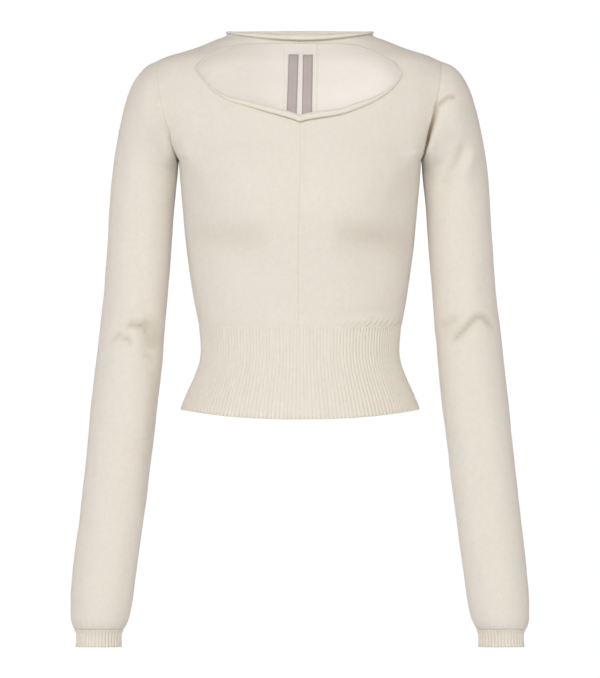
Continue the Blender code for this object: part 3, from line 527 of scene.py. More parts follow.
DEPTH_AT = (table_curve(DEPTHS, "front"), table_curve(DEPTHS, "back"))
ROUNDNESS = table_curve(DEPTHS, "roundness")
SIDE_WIDTH = table_curve(SIDES, "half_width")
SHOULDER_WIDTH = table_curve(SHOULDERS, "half_width")
SHOULDER_HEIGHT = Curve(*zip(*[(row.half_width, row.height) for row in SHOULDERS[:-1]]))
ARMHOLE_X = (table_curve(ARMHOLE, "front_x"), table_curve(ARMHOLE, "back_x"))
UNDERBUST = table_curve(UNDERBUST_DEPTHS, "depth")


def rounded(share, roundness):
    """The height of a superellipse of unit size at this share of its half width."""
    return np.maximum(0.0, 1.0 - np.minimum(np.abs(share), 1.0) ** roundness) ** (1.0 / roundness)


def smooth_step(share):
    share = np.clip(share, 0.0, 1.0)
    return share * share * (3 - 2 * share)


def between(ends, share):
    """The first of two numbers at 0, the second at 1."""
    return ends[0] + (ends[1] - ends[0]) * share


def hump(offset, spread=1.0):
    """1 at no offset, and softly down to nothing a few spreads away."""
    return np.exp(-((offset / spread) ** 2))


def lengths_along(points):
    """How far along their line these points lie, from 0."""
    return np.concatenate([[0.0], np.cumsum(np.linalg.norm(np.diff(points, axis=0), axis=1))])


def unit(vectors):
    return vectors / np.linalg.norm(vectors, axis=-1, keepdims=True)


def crowded(count, crowding):
    """Shares from 0 to 1 that lie closer together at both ends."""
    t = np.linspace(0.0, 1.0, count + 1)
    return t - crowding * np.sin(2 * np.pi * t) / (2 * np.pi)


def joined_up(starts, counts, crowding):
    """Numbers from the first start to the last, crowded within each span and with no repeats."""
    spans = [a + (b - a) * crowded(n, crowding)[:-1] for a, b, n in zip(starts, starts[1:], counts)]
    return np.concatenate([*spans, starts[-1:]])


def armhole_depth(height, face):
    middle = (SHOULDER_TIP_Z + UNDERARM_Z) / 2
    share = (height - middle) / (SHOULDER_TIP_Z - middle)
    return ARMHOLE_DEPTHS[face] * rounded(share, ARMHOLE_ROUNDNESS)


def form_width(height, face):
    """The half width at which the body's form turns from front to back."""
    inside = np.clip(height, UNDERARM_Z, SHOULDER_TIP_Z)
    share = armhole_depth(inside, face) / DEPTH_AT[face](inside)
    virtual = ARMHOLE_X[face](inside) / rounded(share, ROUNDNESS(inside))
    above = np.where(height >= SHOULDER_TIP_Z, SHOULDER_WIDTH(height), virtual)
    return np.where(height <= UNDERARM_Z, SIDE_WIDTH(height), above)


def edge_width(height, face):
    """The half width at which the panel ends: its side seam or its armhole."""
    in_armhole = (height > UNDERARM_Z) & (height < SHOULDER_TIP_Z)
    return np.where(in_armhole, ARMHOLE_X[face](height), form_width(height, face))


def body_points(x, height, face):
    """Points of the body's outer surface at these places in the front view."""
    turn = rounded(x / form_width(height, face), ROUNDNESS(height))
    depth = DEPTH_AT[face](height)
    if face == FRONT:
        across = (np.abs(x) - FULLNESS_X) / FULLNESS_SPREAD
        up = (height - FULLNESS_Z) / FULLNESS_SPREAD
        near = 1.0 - smooth_step((np.abs(x) - FULLNESS_END_X + FULLNESS_FADE) / FULLNESS_FADE)
        below = UNDERBUST_Z - height
        below = below / np.where(below < 0, *UNDERBUST_SPREADS)
        hollow = UNDERBUST(x) * hump(below)
        depth = -(depth + FULLNESS * near * np.exp(-across * across - up * up) - hollow)
    return np.stack(np.broadcast_arrays(x, depth * turn, height), axis=-1)


def centre_drift(x, height):
    """The centre front seam drifts to the left on its way down, and takes the cloth beside it along."""
    fallen = smooth_step((CENTRE_DRIFT_Z - height) / CENTRE_DRIFT_FALL)
    return x - CENTRE_DRIFT * fallen * hump(x, CENTRE_DRIFT_SPREAD)


def rib_seam_height(share, face):
    middle = RIB_SEAM_MIDDLE_Z[face]
    return middle + (RIB_SEAM_SIDE_Z - middle) * share * share


def cutout_edge(table, side, share):
    """Places on the cutout's edge in the front view, from the centre front at 0 to the tip at 1."""
    rows = np.array([row[:2] if side < 0 else row[2:] for row in table])
    lengths = lengths_along(rows)
    return Curve(lengths, rows)(np.asarray(share) * lengths[-1])


def edge_share(column):
    return 1.0 - (1.0 - np.minimum(column, TIP_COLUMN) / TIP_COLUMN) ** TIP_CROWDING


def neck_places(column, face):
    turn = np.sin(np.pi / 2 * np.minimum(column, TIP_COLUMN) / TIP_COLUMN)
    middle = NECK_MIDDLE_Z[face]
    return np.stack([NECK_CORNER_X * turn, middle + (NECK_CORNER_Z - middle) * turn**2], axis=-1)


def top_places(column, face):
    """The panel's top edge: the neckline, then the shoulder seam out to its tip."""
    step = (column - TIP_COLUMN - 1) / (COLUMNS - TIP_COLUMN - 1)
    x = SHOULDER_START_X + (SHOULDER_TIP_X - SHOULDER_START_X) * np.maximum(step, 0.0)
    shoulder = np.stack([x, SHOULDER_HEIGHT(x)], axis=-1)
    beside = np.clip(column - TIP_COLUMN, 0.0, 1.0)[:, None]
    return neck_places(column, face) * (1 - beside) + shoulder * beside


def armhole_heights(rows):
    """Heights up the armhole for these row numbers, even in turn round its oval."""
    turn = np.pi * rows / (ARMHOLE_LOW_ROWS + ARMHOLE_HIGH_ROWS)
    return UNDERARM_Z + (SHOULDER_TIP_Z - UNDERARM_Z) * (1 - np.cos(turn)) / 2


def yoke_places(columns, side, face):
    """Where the lower part of a panel ends: the cutout's lower edge, then a line to the armhole."""
    height = armhole_heights(ARMHOLE_LOW_ROWS)
    end = np.array([edge_width(height, face), height])
    if face == BACK:
        share = columns / COLUMNS
        return np.stack([end[0] * share, height + BACK_YOKE_RISE * (1 - share**6)], axis=-1)
    tip = cutout_edge(CUTOUT_LOWER, side, 1.0)
    step = np.clip((columns - TIP_COLUMN) / (COLUMNS - TIP_COLUMN), 0.0, 1.0)[:, None]
    edge = cutout_edge(CUTOUT_LOWER, side, edge_share(columns))
    return np.where((columns <= TIP_COLUMN)[:, None], edge, tip + (end - tip) * step)


def strap_places(columns, side):
    """Where the front's upper part starts: the cutout's upper edge, then the same line."""
    edge = cutout_edge(CUTOUT_UPPER, side, edge_share(columns))
    return np.where((columns < TIP_COLUMN)[:, None], edge, yoke_places(columns, side, FRONT))


def lower_grid(side, face, columns, top):
    """Points from the rib seam up to the places in top, as rows of columns."""
    share = np.sin(np.pi / 2 * columns / COLUMNS)
    side_heights = RIB_SEAM_SIDE_Z + (UNDERARM_Z - RIB_SEAM_SIDE_Z) * crowded(SIDE_ROWS, GRID_CROWDING)[:-1]
    edge_heights = np.concatenate([side_heights, armhole_heights(np.arange(ARMHOLE_LOW_ROWS + 1))])
    even = crowded(len(edge_heights) - 1, GRID_CROWDING)[:, None]
    edge_up = ((edge_heights - edge_heights[0]) / np.ptp(edge_heights))[:, None]
    up = even + (edge_up - even) * share**3
    low = rib_seam_height(share, face)
    height = low + (top[:, 1] - low) * up
    top_share = top[:, 0] / edge_width(top[:, 1], face)
    x = side * edge_width(height, face) * (share + (top_share - share) * smooth_step(up))
    if face == FRONT:
        x = centre_drift(x, height)
    return body_points(x, height, face)


def upper_grid(side, face, columns, low):
    """Points from the places in low up over the shoulder, to the neckline and the shoulder seam."""
    heights = armhole_heights(np.arange(ARMHOLE_LOW_ROWS, ARMHOLE_LOW_ROWS + ARMHOLE_HIGH_ROWS + 1))
    up = ((heights - heights[0]) / np.ptp(heights))[:, None]
    top = top_places(columns, face)
    low_share = low[:, 0] / form_width(low[:, 1], face)
    top_width = form_width(top[:, 1], face)
    top_share = np.where(columns < TIP_COLUMN, top[:, 0] / top_width, 1.0)
    height = low[:, 1] + (top[:, 1] - low[:, 1]) * up
    height[:, -1] = heights
    share = low_share + (top_share - low_share) * up
    last = edge_width(heights, face) / form_width(heights, face)
    share *= 1.0 + (last[:, None] / share[:, -1:] - 1.0) * (share / share[:, -1:]) ** 6
    x = form_width(height, face) * share
    if face == FRONT:
        straight = low[:, 0] + (top_width * top_share - low[:, 0]) * up
        start, stop = STRAP_STRAIGHT_COLUMNS
        x += (straight - x) * STRAP_STRAIGHTNESS * (1.0 - smooth_step((columns - start) / (stop - start)))
    x[:, -1] = edge_width(heights, face)
    return body_points(side * x, height, face)


class Sheet:
    """The outer surface of a piece of cloth: points, quads, and each corner's place on the flat cloth."""

    def __init__(self, points, faces, flat):
        self.points = points
        self.faces = faces
        self.flat = flat

    @classmethod
    def grid(cls, points, flipped=False, tube=False):
        """A sheet from rows of points. Its wales run straight up, or along a tube from its last row."""
        rows, columns = points.shape[:2]
        level, upright = ([0, 1, 2], [0, 1, 2]) if tube else ([0, 1], [1, 2])
        across = np.linalg.norm(np.diff(points, axis=1)[..., level], axis=2)
        across = np.concatenate([np.zeros((rows, 1)), np.cumsum(across, axis=1)], axis=1)
        across = across - across[:, columns // 2][:, None] * tube
        along = np.linalg.norm(np.diff(points, axis=0)[..., upright], axis=2)
        along = np.concatenate([np.zeros((1, columns)), np.cumsum(along, axis=0)])
        along = along - along[-1] if tube else along + points[0, :, 2]
        flat = np.stack([across, along], axis=-1).reshape(-1, 2)
        low = (np.arange(rows - 1)[:, None] * columns + np.arange(columns - 1)).reshape(-1)
        faces = np.stack([low, low + 1, low + 1 + columns, low + columns], axis=1)
        if flipped:
            faces = faces[:, ::-1]
        return cls(points.reshape(-1, 3), faces, flat[faces])

    def __add__(self, other):
        points = np.concatenate([self.points, other.points])
        faces = np.concatenate([self.faces, other.faces + len(self.points)])
        return Sheet(points, faces, np.concatenate([self.flat, other.flat]))

    def welded(self):
        """The same sheet with one point for each place."""
        keys = np.round(self.points / WELD_DISTANCE).astype(np.int64)
        _, first, number = np.unique(keys, axis=0, return_index=True, return_inverse=True)
        return Sheet(self.points[first], number.reshape(-1)[self.faces], self.flat)


def panel_columns(face):
    return joined_up([0.0, TIP_COLUMN, TIP_COLUMN + 1.0, COLUMNS], COLUMN_COUNTS[face], GRID_CROWDING)


def front_sheet(side):
    columns = panel_columns(FRONT)
    lower = Sheet.grid(lower_grid(side, FRONT, columns, yoke_places(columns, side, FRONT)), side < 0)
    upper = Sheet.grid(upper_grid(side, FRONT, columns, strap_places(columns, side)), side < 0)
    return (lower + upper).welded()


def back_sheet():
    columns = panel_columns(BACK)
    low = yoke_places(columns, 1, BACK)
    halves = []
    for side in (-1, 1):
        halves.append(Sheet.grid(lower_grid(side, BACK, columns, low), side > 0))
        halves.append(Sheet.grid(upper_grid(side, BACK, columns, low), side > 0))
    return (halves[0] + halves[1] + halves[2] + halves[3]).welded()


def sleeve_turns():
    """Turns round a sleeve's ring: from the seam under the arm, up the front, over the top and back."""
    half = ARMHOLE_LOW_ROWS + ARMHOLE_HIGH_ROWS
    return np.pi * np.arange(half, -half - 1, -1) / half


def armhole_ring(side, turns):
    """The armhole's edge. A turn above 0 is on the front."""
    height = UNDERARM_Z + (SHOULDER_TIP_Z - UNDERARM_Z) * (1 + np.cos(turns)) / 2
    front = turns >= 0
    x = np.where(front, ARMHOLE_X[FRONT](height), ARMHOLE_X[BACK](height))
    y = np.where(front, -armhole_depth(height, FRONT), armhole_depth(height, BACK))
    return np.stack([side * x, y, height], axis=-1)


def sleeve_ring(side, section, turns):
    across = np.cos(turns)
    front = turns >= 0
    depth = np.where(front, -section.front, section.back)
    near = section.bow / SLEEVE[0].bow
    fold = ARMHOLE_FOLDS[side] * near * 2 * np.maximum(0.0, np.sin(turns)) * np.maximum(0.0, -across)
    y = section.centre_y + depth * rounded(across, SLEEVE_ROUNDNESS) - fold
    share = (1 + across) / 2
    x = section.inner_x + (section.outer_x - section.inner_x) * share + section.bow * (1 - across * across)
    z = section.inner_z + (section.outer_z - section.inner_z) * share
    return np.stack([side * x, y, z], axis=-1)


def sleeve_sheet(side):
    turns = sleeve_turns()
    rings = np.array([armhole_ring(side, turns)] + [sleeve_ring(side, row, turns) for row in SLEEVE])
    steps = np.linalg.norm(np.diff(rings, axis=0), axis=2).mean(axis=1)
    stations = np.concatenate([[0.0], np.cumsum(steps)])
    ends = [0.0, SLEEVE_FINE_STRETCH, stations[-1] - SLEEVE_FINE_STRETCH, stations[-1]]
    points = Curve(stations, rings)(joined_up(ends, SLEEVE_RINGS, SLEEVE_CROWDING))
    return Sheet.grid(points, side > 0, True).welded()


def nearest_on(points, line):
    """Each point's distance to a line through these places, and where on the line that is, from 0 to 1."""
    nearest = np.full(len(points), np.inf)
    share = np.zeros(len(points))
    for number, (start, run) in enumerate(zip(line[:-1], np.diff(line, axis=0))):
        size = run @ run
        if size == 0:
            continue
        step = np.clip((points - start) @ run / size, 0.0, 1.0)
        away = points - start - step[:, None] * run
        away = np.einsum("ij,ij->i", away, away)
        nearer = away < nearest
        nearest[nearer] = away[nearer]
        share[nearer] = (number + step[nearer]) / (len(line) - 1)
    return np.sqrt(nearest), share


def distance_to(points, line):
    return nearest_on(points, line)[0]


def smooth_line(places, count):
    """More points on a smooth line through a few places."""
    places = np.array(places, float)
    lengths = lengths_along(places)
    return Curve(lengths, places)(np.linspace(0.0, lengths[-1], count))


def unevenness(points, size, seed):
    """A smooth random number between about -1 and 1 for each point, alike for points that lie together."""
    offset = Vector((seed * 17.3, seed * 5.1, seed * 9.7))
    return np.array([noise.noise(Vector(point) / size + offset) for point in points]) * 2


def settled(points):
    """The cloth near the arms as it hangs: fuller beside the underarm, and the right seam nearer the neck."""
    x, y, z = points.T
    away = (np.abs(x) - UNDERARM_FILL_X) ** 2 + (z - UNDERARM_FILL_Z) ** 2
    fill = UNDERARM_FILL * np.exp(-away / UNDERARM_FILL_SPREAD**2)
    beside = hump(x - RIGHT_ARMHOLE_SHIFT_X, RIGHT_ARMHOLE_SHIFT_SPREAD)
    shift = RIGHT_ARMHOLE_SHIFT * beside * smooth_step((z - UNDERARM_Z) / RIGHT_ARMHOLE_SHIFT_RISE)
    return np.stack([x - shift, y * (1.0 + fill), z], axis=-1)


def shared_normals(sheets):
    """One outward normal for each point of each sheet, alike where sheets meet."""
    keys = [np.round(sheet.points / MEETING_DISTANCE).astype(np.int64) for sheet in sheets]
    _, number = np.unique(np.concatenate(keys), axis=0, return_inverse=True)
    number = number.reshape(-1)
    totals = np.zeros((number.max() + 1, 3))
    start = 0
    for sheet in sheets:
        a, b, c, d = (sheet.points[sheet.faces[:, corner]] for corner in range(4))
        normal = np.cross(c - a, d - b)
        for corner in range(4):
            np.add.at(totals, number[start + sheet.faces[:, corner]], normal)
        start += len(sheet.points)
    totals /= np.linalg.norm(totals, axis=1)[:, None]
    ends = np.cumsum([0] + [len(sheet.points) for sheet in sheets])
    return [totals[number[low:high]] for low, high in zip(ends, ends[1:])]


def seams():
    """The sewn seams of the panels: each a line of points, and the trough along it."""
    turns = sleeve_turns()[::2]
    side_heights = np.linspace(RIB_SEAM_SIDE_Z, UNDERARM_Z, 60)
    columns = np.linspace(TIP_COLUMN + 0.6, COLUMNS, 30)
    for side in (-1, 1):
        yield settled(armhole_ring(side, turns)), ARMHOLE_SEAMS[side]
        width = side * SIDE_WIDTH(side_heights)
        yield np.stack([width, 0 * width, side_heights], axis=-1), SIDE_SEAM
        x, height = top_places(columns, FRONT).T
        yield np.stack([side * x, 0 * x, height], axis=-1), SHOULDER_SEAM
    heights = np.linspace(RIB_SEAM_MIDDLE_Z[FRONT], CUTOUT_LOWER[0].left_z, 80)
    yield body_points(centre_drift(0 * heights, heights), heights, FRONT), CENTRE_SEAM


def rib_seam_line(face, count=240):
    share = np.linspace(-1.0, 1.0, count)
    height = rib_seam_height(np.abs(share), face)
    return body_points(share * form_width(height, face), height, face)


def under_roll(edge_places, radius):
    """The line just under a curled edge, on the front of the body."""
    height = edge_places[:, 1] - ROLL_TROUGH_DROP * radius
    return body_points(edge_places[:, 0], height, FRONT)


def roll_shadows(side):
    """The troughs under the neck roll's front and the cutout's roll, on one side: line, depth and painted
    shadow.
    """
    columns = np.linspace(0.0, TIP_COLUMN, 80)
    thin = to_corner(columns)
    places = neck_places(columns, FRONT) * (side, 1.0)
    right = smooth_step((places[:, 0] - NECK_TROUGH_START_X) / NECK_TROUGH_RUN)
    strength = between(NECK_TROUGH_STRENGTHS, right) - NECK_TROUGH_LOSS * thin
    yield under_roll(places, neck_roll_radius(FRONT, thin)), strength, strength
    shares = edge_share(columns)
    places = cutout_edge(CUTOUT_LOWER, side, shares) * (side, 1.0)
    strength = CUTOUT_TROUGH_STRENGTH - CUTOUT_TROUGH_LOSS[side] * smooth_step(shares / CUTOUT_TROUGH_RUN)
    yield under_roll(places, cutout_roll_radius(side, shares)), CUTOUT_TROUGH_DEPTH * strength, strength


def to_corner(column):
    """0 at the middle of the neckline and 1 at its corner."""
    return np.sin(np.pi / 2 * np.abs(column) / TIP_COLUMN) ** 2


def neck_roll_radius(face, thin):
    middle = np.array(ROLL_RADII)[face]
    return middle + (ROLL_CORNER_RADIUS - middle) * thin


def cutout_roll_radius(side, shares):
    """The radius of the cutout's roll at these shares of its edge."""
    return table_curve(CUTOUT_ROLL, "left_radius" if side < 0 else "right_radius")(shares)


class Relief:
    """How far each point of the panels lies in from the plain form, and how much shade is painted on it in a
    narrow hollow.
    """

    def __init__(self, points, normals):
        self.points = points
        self.normals = normals
        self.inward = np.zeros(len(points))
        self.hollow = np.zeros(len(points))

    def press(self, near, inward, tint):
        """Moves the points in near inward, and paints at least this much shade on them."""
        self.inward[near] += inward
        self.hollow[near] = np.maximum(self.hollow[near], tint)

    def press_creases(self):
        view = self.points[:, [0, 2]]
        for crease in CREASES:
            line = smooth_line(crease.places, CREASE_POINTS)
            reach = np.ptp(line, axis=0) / 2 + CREASE_REACH * crease.spread
            near = (np.abs(view - line.mean(axis=0)) < reach).all(axis=1)
            facing = np.clip(self.normals[near, 1] * crease.face * CREASE_TURN, 0.0, 1.0)
            away, share = nearest_on(view[near], line)
            away = away / crease.spread
            full = smooth_step(share / CREASE_END_FADE) * smooth_step((1.0 - share) / CREASE_END_FADE)
            brim = CREASE_BRIM * np.exp(-((away - CREASE_BRIM_PLACE) ** 2) * CREASE_BRIM_SHARPNESS)
            inward = crease.depth * (hump(away) - brim) * facing * between(CREASE_DEPTHS, full)
            self.press(near, inward, crease.tint * hump(away) * facing * full)

    def press_seams(self):
        for line, trough in seams():
            near = hump(distance_to(self.points, line), trough.spread)
            self.press(slice(None), trough.depth * near, trough.tint * near)

    def press_armholes(self, on_sleeve):
        for side, valley in ARMHOLE_VALLEYS.items():
            line = settled(armhole_ring(side, np.linspace(*ARMHOLE_VALLEY_TURNS, 60) * np.pi))
            spread = valley.sleeve_spread if on_sleeve else valley.panel_spread
            on_front = smooth_step((ARMHOLE_VALLEY_Y - self.points[:, 1]) / ARMHOLE_VALLEY_FADE)
            strong = Curve(valley.heights, valley.strengths)(self.points[:, 2]) * on_front
            near = hump(distance_to(self.points, line), spread)
            self.press(slice(None), valley.depth * strong * near, valley.tint * strong * near)

    def press_under_rolls(self):
        for side in (-1, 1):
            for line, depth, tint in roll_shadows(side):
                near = (self.points[:, 1] < 0) & (self.points[:, 0] * side > -2.0)
                away, share = nearest_on(self.points[near], line)
                place = np.linspace(0.0, 1.0, len(line))
                inward = np.interp(share, place, depth) * hump(away, ROLL_TROUGH_SPREAD)
                self.press(near, inward, np.interp(share, place, tint) * hump(away, ROLL_PAINTED_SHADE_SPREAD))

    def press_gathers(self):
        for face, outward in ((FRONT, -1), (BACK, 1)):
            near = (self.points[:, 2] < GATHER_TOP_Z) & (self.normals[:, 1] * outward > -0.02)
            x, up = self.points[near, 0], distance_to(self.points[near], rib_seam_line(face))
            strong = BACK_GATHERS
            if face == FRONT:
                strong = between(FRONT_GATHERS, smooth_step((x - GATHER_START_X) / GATHER_RUN))
            strong = strong * np.clip(GATHER_TURN * np.abs(self.normals[near, 1]), 0.0, 1.0)
            sway = GATHER_SWAY[0] * np.sin(x / GATHER_SWAY[1])
            wave = np.cos(2 * np.pi * (x - GATHER_LEAN * up) / GATHER_WIDTH + sway)
            fade = np.exp(-up / GATHER_HEIGHT)
            gathers = GATHER_DEPTH * strong * fade * wave * (1 - np.exp(-up / GATHER_START))
            ridge = strong * ridges(up, [RIB_SEAM_RIDGE])
            seam = hump(up, RIB_SEAM.spread)
            # Shade painted into the gathers' troughs
            painted_gather_shade = GATHER_PAINTED_SHADE * strong * np.maximum(0.0, -wave)
            painted_gather_shade = painted_gather_shade * hump(up - GATHER_PAINTED_SHADE_UP, GATHER_PAINTED_SHADE_SPREAD)
            self.press(near, RIB_SEAM.depth * seam - gathers - ridge, RIB_SEAM.tint * seam + painted_gather_shade)

    def press_unevenness(self):
        for uneven in PANEL_UNEVENNESS:
            self.inward -= uneven.depth * unevenness(self.points, uneven.size, uneven.seed)


def relief(points, normals, on_sleeve):
    """How far these points of a panel lie in from the plain form, and how much shade is painted in each one's
    hollow.
    """
    made = Relief(points, normals)
    made.press_creases()
    made.press_seams()
    made.press_armholes(on_sleeve)
    made.press_under_rolls()
    made.press_gathers()
    made.press_unevenness()
    return made.inward, made.hollow


# A panel's hollow is how much shade is painted on each point
Panel = namedtuple("Panel", "sheet plain normals hollow")


@lru_cache(maxsize=None)
def panels():
    """The five panels' sheets, shaped and in place, with the normals of their plain form."""
    names = ["front_left", "front_right", "back", "sleeve_left", "sleeve_right"]
    sheets = [front_sheet(-1), front_sheet(1), back_sheet(), sleeve_sheet(-1), sleeve_sheet(1)]
    for sheet in sheets:
        sheet.points = settled(sheet.points)
    normals = shared_normals(sheets)
    made = {}
    for name, sheet, normal in zip(names, sheets, normals):
        inward, hollow = relief(sheet.points, normal, name.startswith("sleeve"))
        side = -1 if name.endswith("left") else 1
        if name.startswith("sleeve"):
            inward += cuff_gathers(sheet.points, side)
        if name.startswith("front"):
            inward -= front_edges(sheet.points, side)
        moved = Sheet(sheet.points - normal * inward[:, None], sheet.faces, sheet.flat)
        made[name] = Panel(moved, sheet.points, normal, hollow)
    return made


def cuff_gathers(points, side):
    """How far a sleeve's cloth lies in over its cuff: short gathers that fade upward, and the seam."""
    up = points[:, 2] - CUFF_SEAM_Z
    turn = np.arctan2(points[:, 1] - CUFF_MIDDLE_Y, points[:, 0] - side * CUFF_MIDDLE_X)
    sway = CUFF_GATHER_SWAY[0] * np.sin(CUFF_GATHER_SWAY[1] * turn)
    waves = np.cos(CUFF_GATHERS * turn + sway)
    fade = np.exp(-up / CUFF_GATHER_HEIGHT) * (1 - np.exp(-up / CUFF_GATHER_START))
    return CUFF_SEAM.depth * hump(up, CUFF_SEAM.spread) - CUFF_GATHER_DEPTH * waves * fade


def ridges(offset, rows):
    return sum(row.rise * hump(offset - row.place, row.spread) for row in rows)


def front_edges(points, side):
    """How far a front half stands out along its cut edges and beside the centre seam."""
    columns = np.linspace(0, TIP_COLUMN, 60)
    x, height = cutout_edge(CUTOUT_UPPER, side, edge_share(columns)).T
    away = distance_to(points, body_points(side * x, height, FRONT))
    beside = points[:, 0] - centre_drift(0.0, points[:, 2])
    start = CUTOUT_LOWER[0].left_z - CENTRE_RIDGE_START
    below = smooth_step((start - points[:, 2]) / CENTRE_RIDGE_START)
    chest = smooth_step((points[:, 2] - CENTRE_HOLLOW_Z) / CENTRE_HOLLOW_FADE)
    seam = ridges(beside, CENTRE_RIDGES) + ridges(beside, CENTRE_HOLLOWS) * chest
    return CUTOUT_EDGE_STRENGTH[side] * ridges(away, CUTOUT_EDGE_RIDGES) + seam * below


def boundary_edges(faces, count):
    """The edges that only one face has, in that face's direction."""
    ahead = np.roll(faces, -1, axis=1)
    edges = np.concatenate([np.stack([faces[:, k], ahead[:, k]], 1) for k in range(faces.shape[1])])
    codes = edges[:, 0] * count + edges[:, 1]
    back = edges[:, 1] * count + edges[:, 0]
    return edges[~np.isin(back, codes)]


def new_mesh(name, points, faces, flat=None, materials=(), slots=None, hollow=None):
    """An object from points in millimetres, riding on the garment. hollow is how much shade is painted on
    each point, to 1.
    """
    mesh = bpy.data.meshes.new(name)
    mesh.from_pydata((np.asarray(points) * MM).tolist(), [], [list(map(int, face)) for face in faces])
    if flat is not None:
        layer = mesh.uv_layers.new(name="cloth")
        layer.uv.foreach_set("vector", (np.reshape(flat, -1) * MM).astype(np.float32))
    piece = bpy.data.objects.new(name, mesh)
    bpy.context.scene.collection.objects.link(piece)
    for material in materials:
        mesh.materials.append(material)
    if slots is not None:
        mesh.polygons.foreach_set("material_index", np.asarray(slots, np.int32))
    # The shade painted on each point, for the material to mix in
    if hollow is not None:
        layer = mesh.attributes.new("hollow", "FLOAT", "POINT")
        layer.data.foreach_set("value", np.asarray(hollow, np.float32))
    mesh.shade_smooth()
    mesh.update()
    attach(piece, "root")
    return piece


def wall_piece(name, sheet, normals, thickness, materials, hollow=None):
    """A closed wall from a sheet, with the first material outside and the last one inside."""
    count = len(sheet.points)
    inner = sheet.points - normals * thickness
    rim = boundary_edges(sheet.faces, count)
    sides = np.stack([rim[:, 1], rim[:, 0], rim[:, 0] + count, rim[:, 1] + count], axis=1)
    faces = np.concatenate([sheet.faces, sheet.faces[:, ::-1] + count, sides])
    place = np.zeros((2 * count, 2))
    place[sheet.faces.reshape(-1)] = sheet.flat.reshape(-1, 2)
    place[count:] = place[:count]
    flat = np.concatenate([sheet.flat, sheet.flat[:, ::-1], place[sides]])
    slots = np.repeat([0, len(materials) - 1, 0], [len(sheet.faces), len(sheet.faces), len(sides)])
    hollow = None if hollow is None else np.concatenate([hollow, 0 * hollow])
    piece = new_mesh(name, np.concatenate([sheet.points, inner]), faces, flat, materials, slots, hollow)
    piece.data.set_sharp_from_angle(angle=WALL_SHARPNESS)
    return piece


def signed_volume(points, faces):
    a, b, c, d = (points[faces[:, corner]] for corner in range(4))
    return (np.einsum("ij,ij->i", a, np.cross(b, c)) + np.einsum("ij,ij->i", a, np.cross(c, d))).sum()


def loop_piece(name, rings, materials, closed_ends, across=None, along=None, hollow=None):
    """A solid from equal rings of points: each ring closes, and the row of rings closes or ends in caps.

    across and along are where the points lie on the flat cloth. Without them they are measured.
    """
    rows, columns = rings.shape[:2]
    if across is None:
        steps = np.linalg.norm(np.roll(rings, -1, axis=1) - rings, axis=2).mean(axis=0)
        across = np.concatenate([[0.0], np.cumsum(steps)])
    if along is None:
        steps = np.linalg.norm(np.roll(rings, -1, axis=0) - rings, axis=2).mean(axis=1)
        along = np.concatenate([[0.0], np.cumsum(steps)])
    row, column = (part.ravel() for part in np.mgrid[: rows - closed_ends, :columns])
    above, beside = (row + 1) % rows, (column + 1) % columns
    places = [(row, column), (row, beside), (above, beside), (above, column)]
    faces = np.stack([down * columns + over for down, over in places], axis=1)
    corners = [(column, row), (column + 1, row), (column + 1, row + 1), (column, row + 1)]
    flat = np.stack([np.stack([across[c], along[r]], axis=-1) for c, r in corners], axis=1)
    points = rings.reshape(-1, 3)
    if closed_ends:
        half = columns // 2
        number = np.arange(half - 1)
        caps = []
        for start in (0, (rows - 1) * columns):
            far = start + columns - 1 - number
            cap = np.stack([start + number, start + number + 1, far - 1, far], axis=1)
            caps.append(cap if start else cap[:, ::-1])
        faces = np.concatenate([faces, *caps])
        flat = np.concatenate([flat, np.zeros((2 * (half - 1), 4, 2))])
    if signed_volume(points, faces) < 0:
        faces, flat = faces[:, ::-1], flat[:, ::-1]
    piece = new_mesh(name, points, faces, flat, materials, None, hollow)
    piece.data.set_sharp_from_angle(angle=LOOP_SHARPNESS)
    return piece


# The ribs


def oval_points(turns, half_width, front, back, roundness):
    """Points of a rounded section, seen from above. Turn 0 is the centre front and a quarter is +X."""
    depth = np.where(np.cos(turns) > 0, front, back)
    x = half_width * np.sign(np.sin(turns)) * np.abs(np.sin(turns)) ** (2 / roundness)
    y = -depth * np.sign(np.cos(turns)) * np.abs(np.cos(turns)) ** (2 / roundness)
    return np.stack([x, y], axis=-1)


def oval_outward(turns, *sizes):
    run = unit(oval_points(turns + 0.004, *sizes) - oval_points(turns - 0.004, *sizes))
    return np.stack([run[..., 1], -run[..., 0]], axis=-1)


def even_turns(shares, *sizes):
    """Turns that lie at these shares of the length round a section."""
    fine = np.linspace(0.0, 2 * np.pi, 5761)
    lengths = lengths_along(oval_points(fine, *sizes))
    return np.interp((shares % 1.0) * lengths[-1], lengths, fine)


# One rib across, from the bottom of a valley to the next. The last number is how much of the rib's painted
# shade each point takes.
RibPoint = namedtuple("RibPoint", "share rise hollow")
RIB_PROFILE = [
    RibPoint(0.0, -0.3, 1.0),
    RibPoint(0.08, -0.16, 0.7),
    RibPoint(0.17, 0.2, 0.15),
    RibPoint(0.3, 0.46, 0.0),
    RibPoint(0.5, 0.56, 0.0),
    RibPoint(0.7, 0.46, 0.0),
    RibPoint(0.83, 0.2, 0.15),
    RibPoint(0.92, -0.16, 0.7),
]
RIB_WANDER = 0.012  # of a rib's width
RIB_DRIFT = 0.012
RIB_END_IN = (0.0, 0.45, 0.95)  # how far the last rows turn in over the edge
RIB_END_DROP = 0.35
RIB_CREST_DROP = 0.25
RIB_INNER_DROP = 0.3
INNER_ROWS = 5

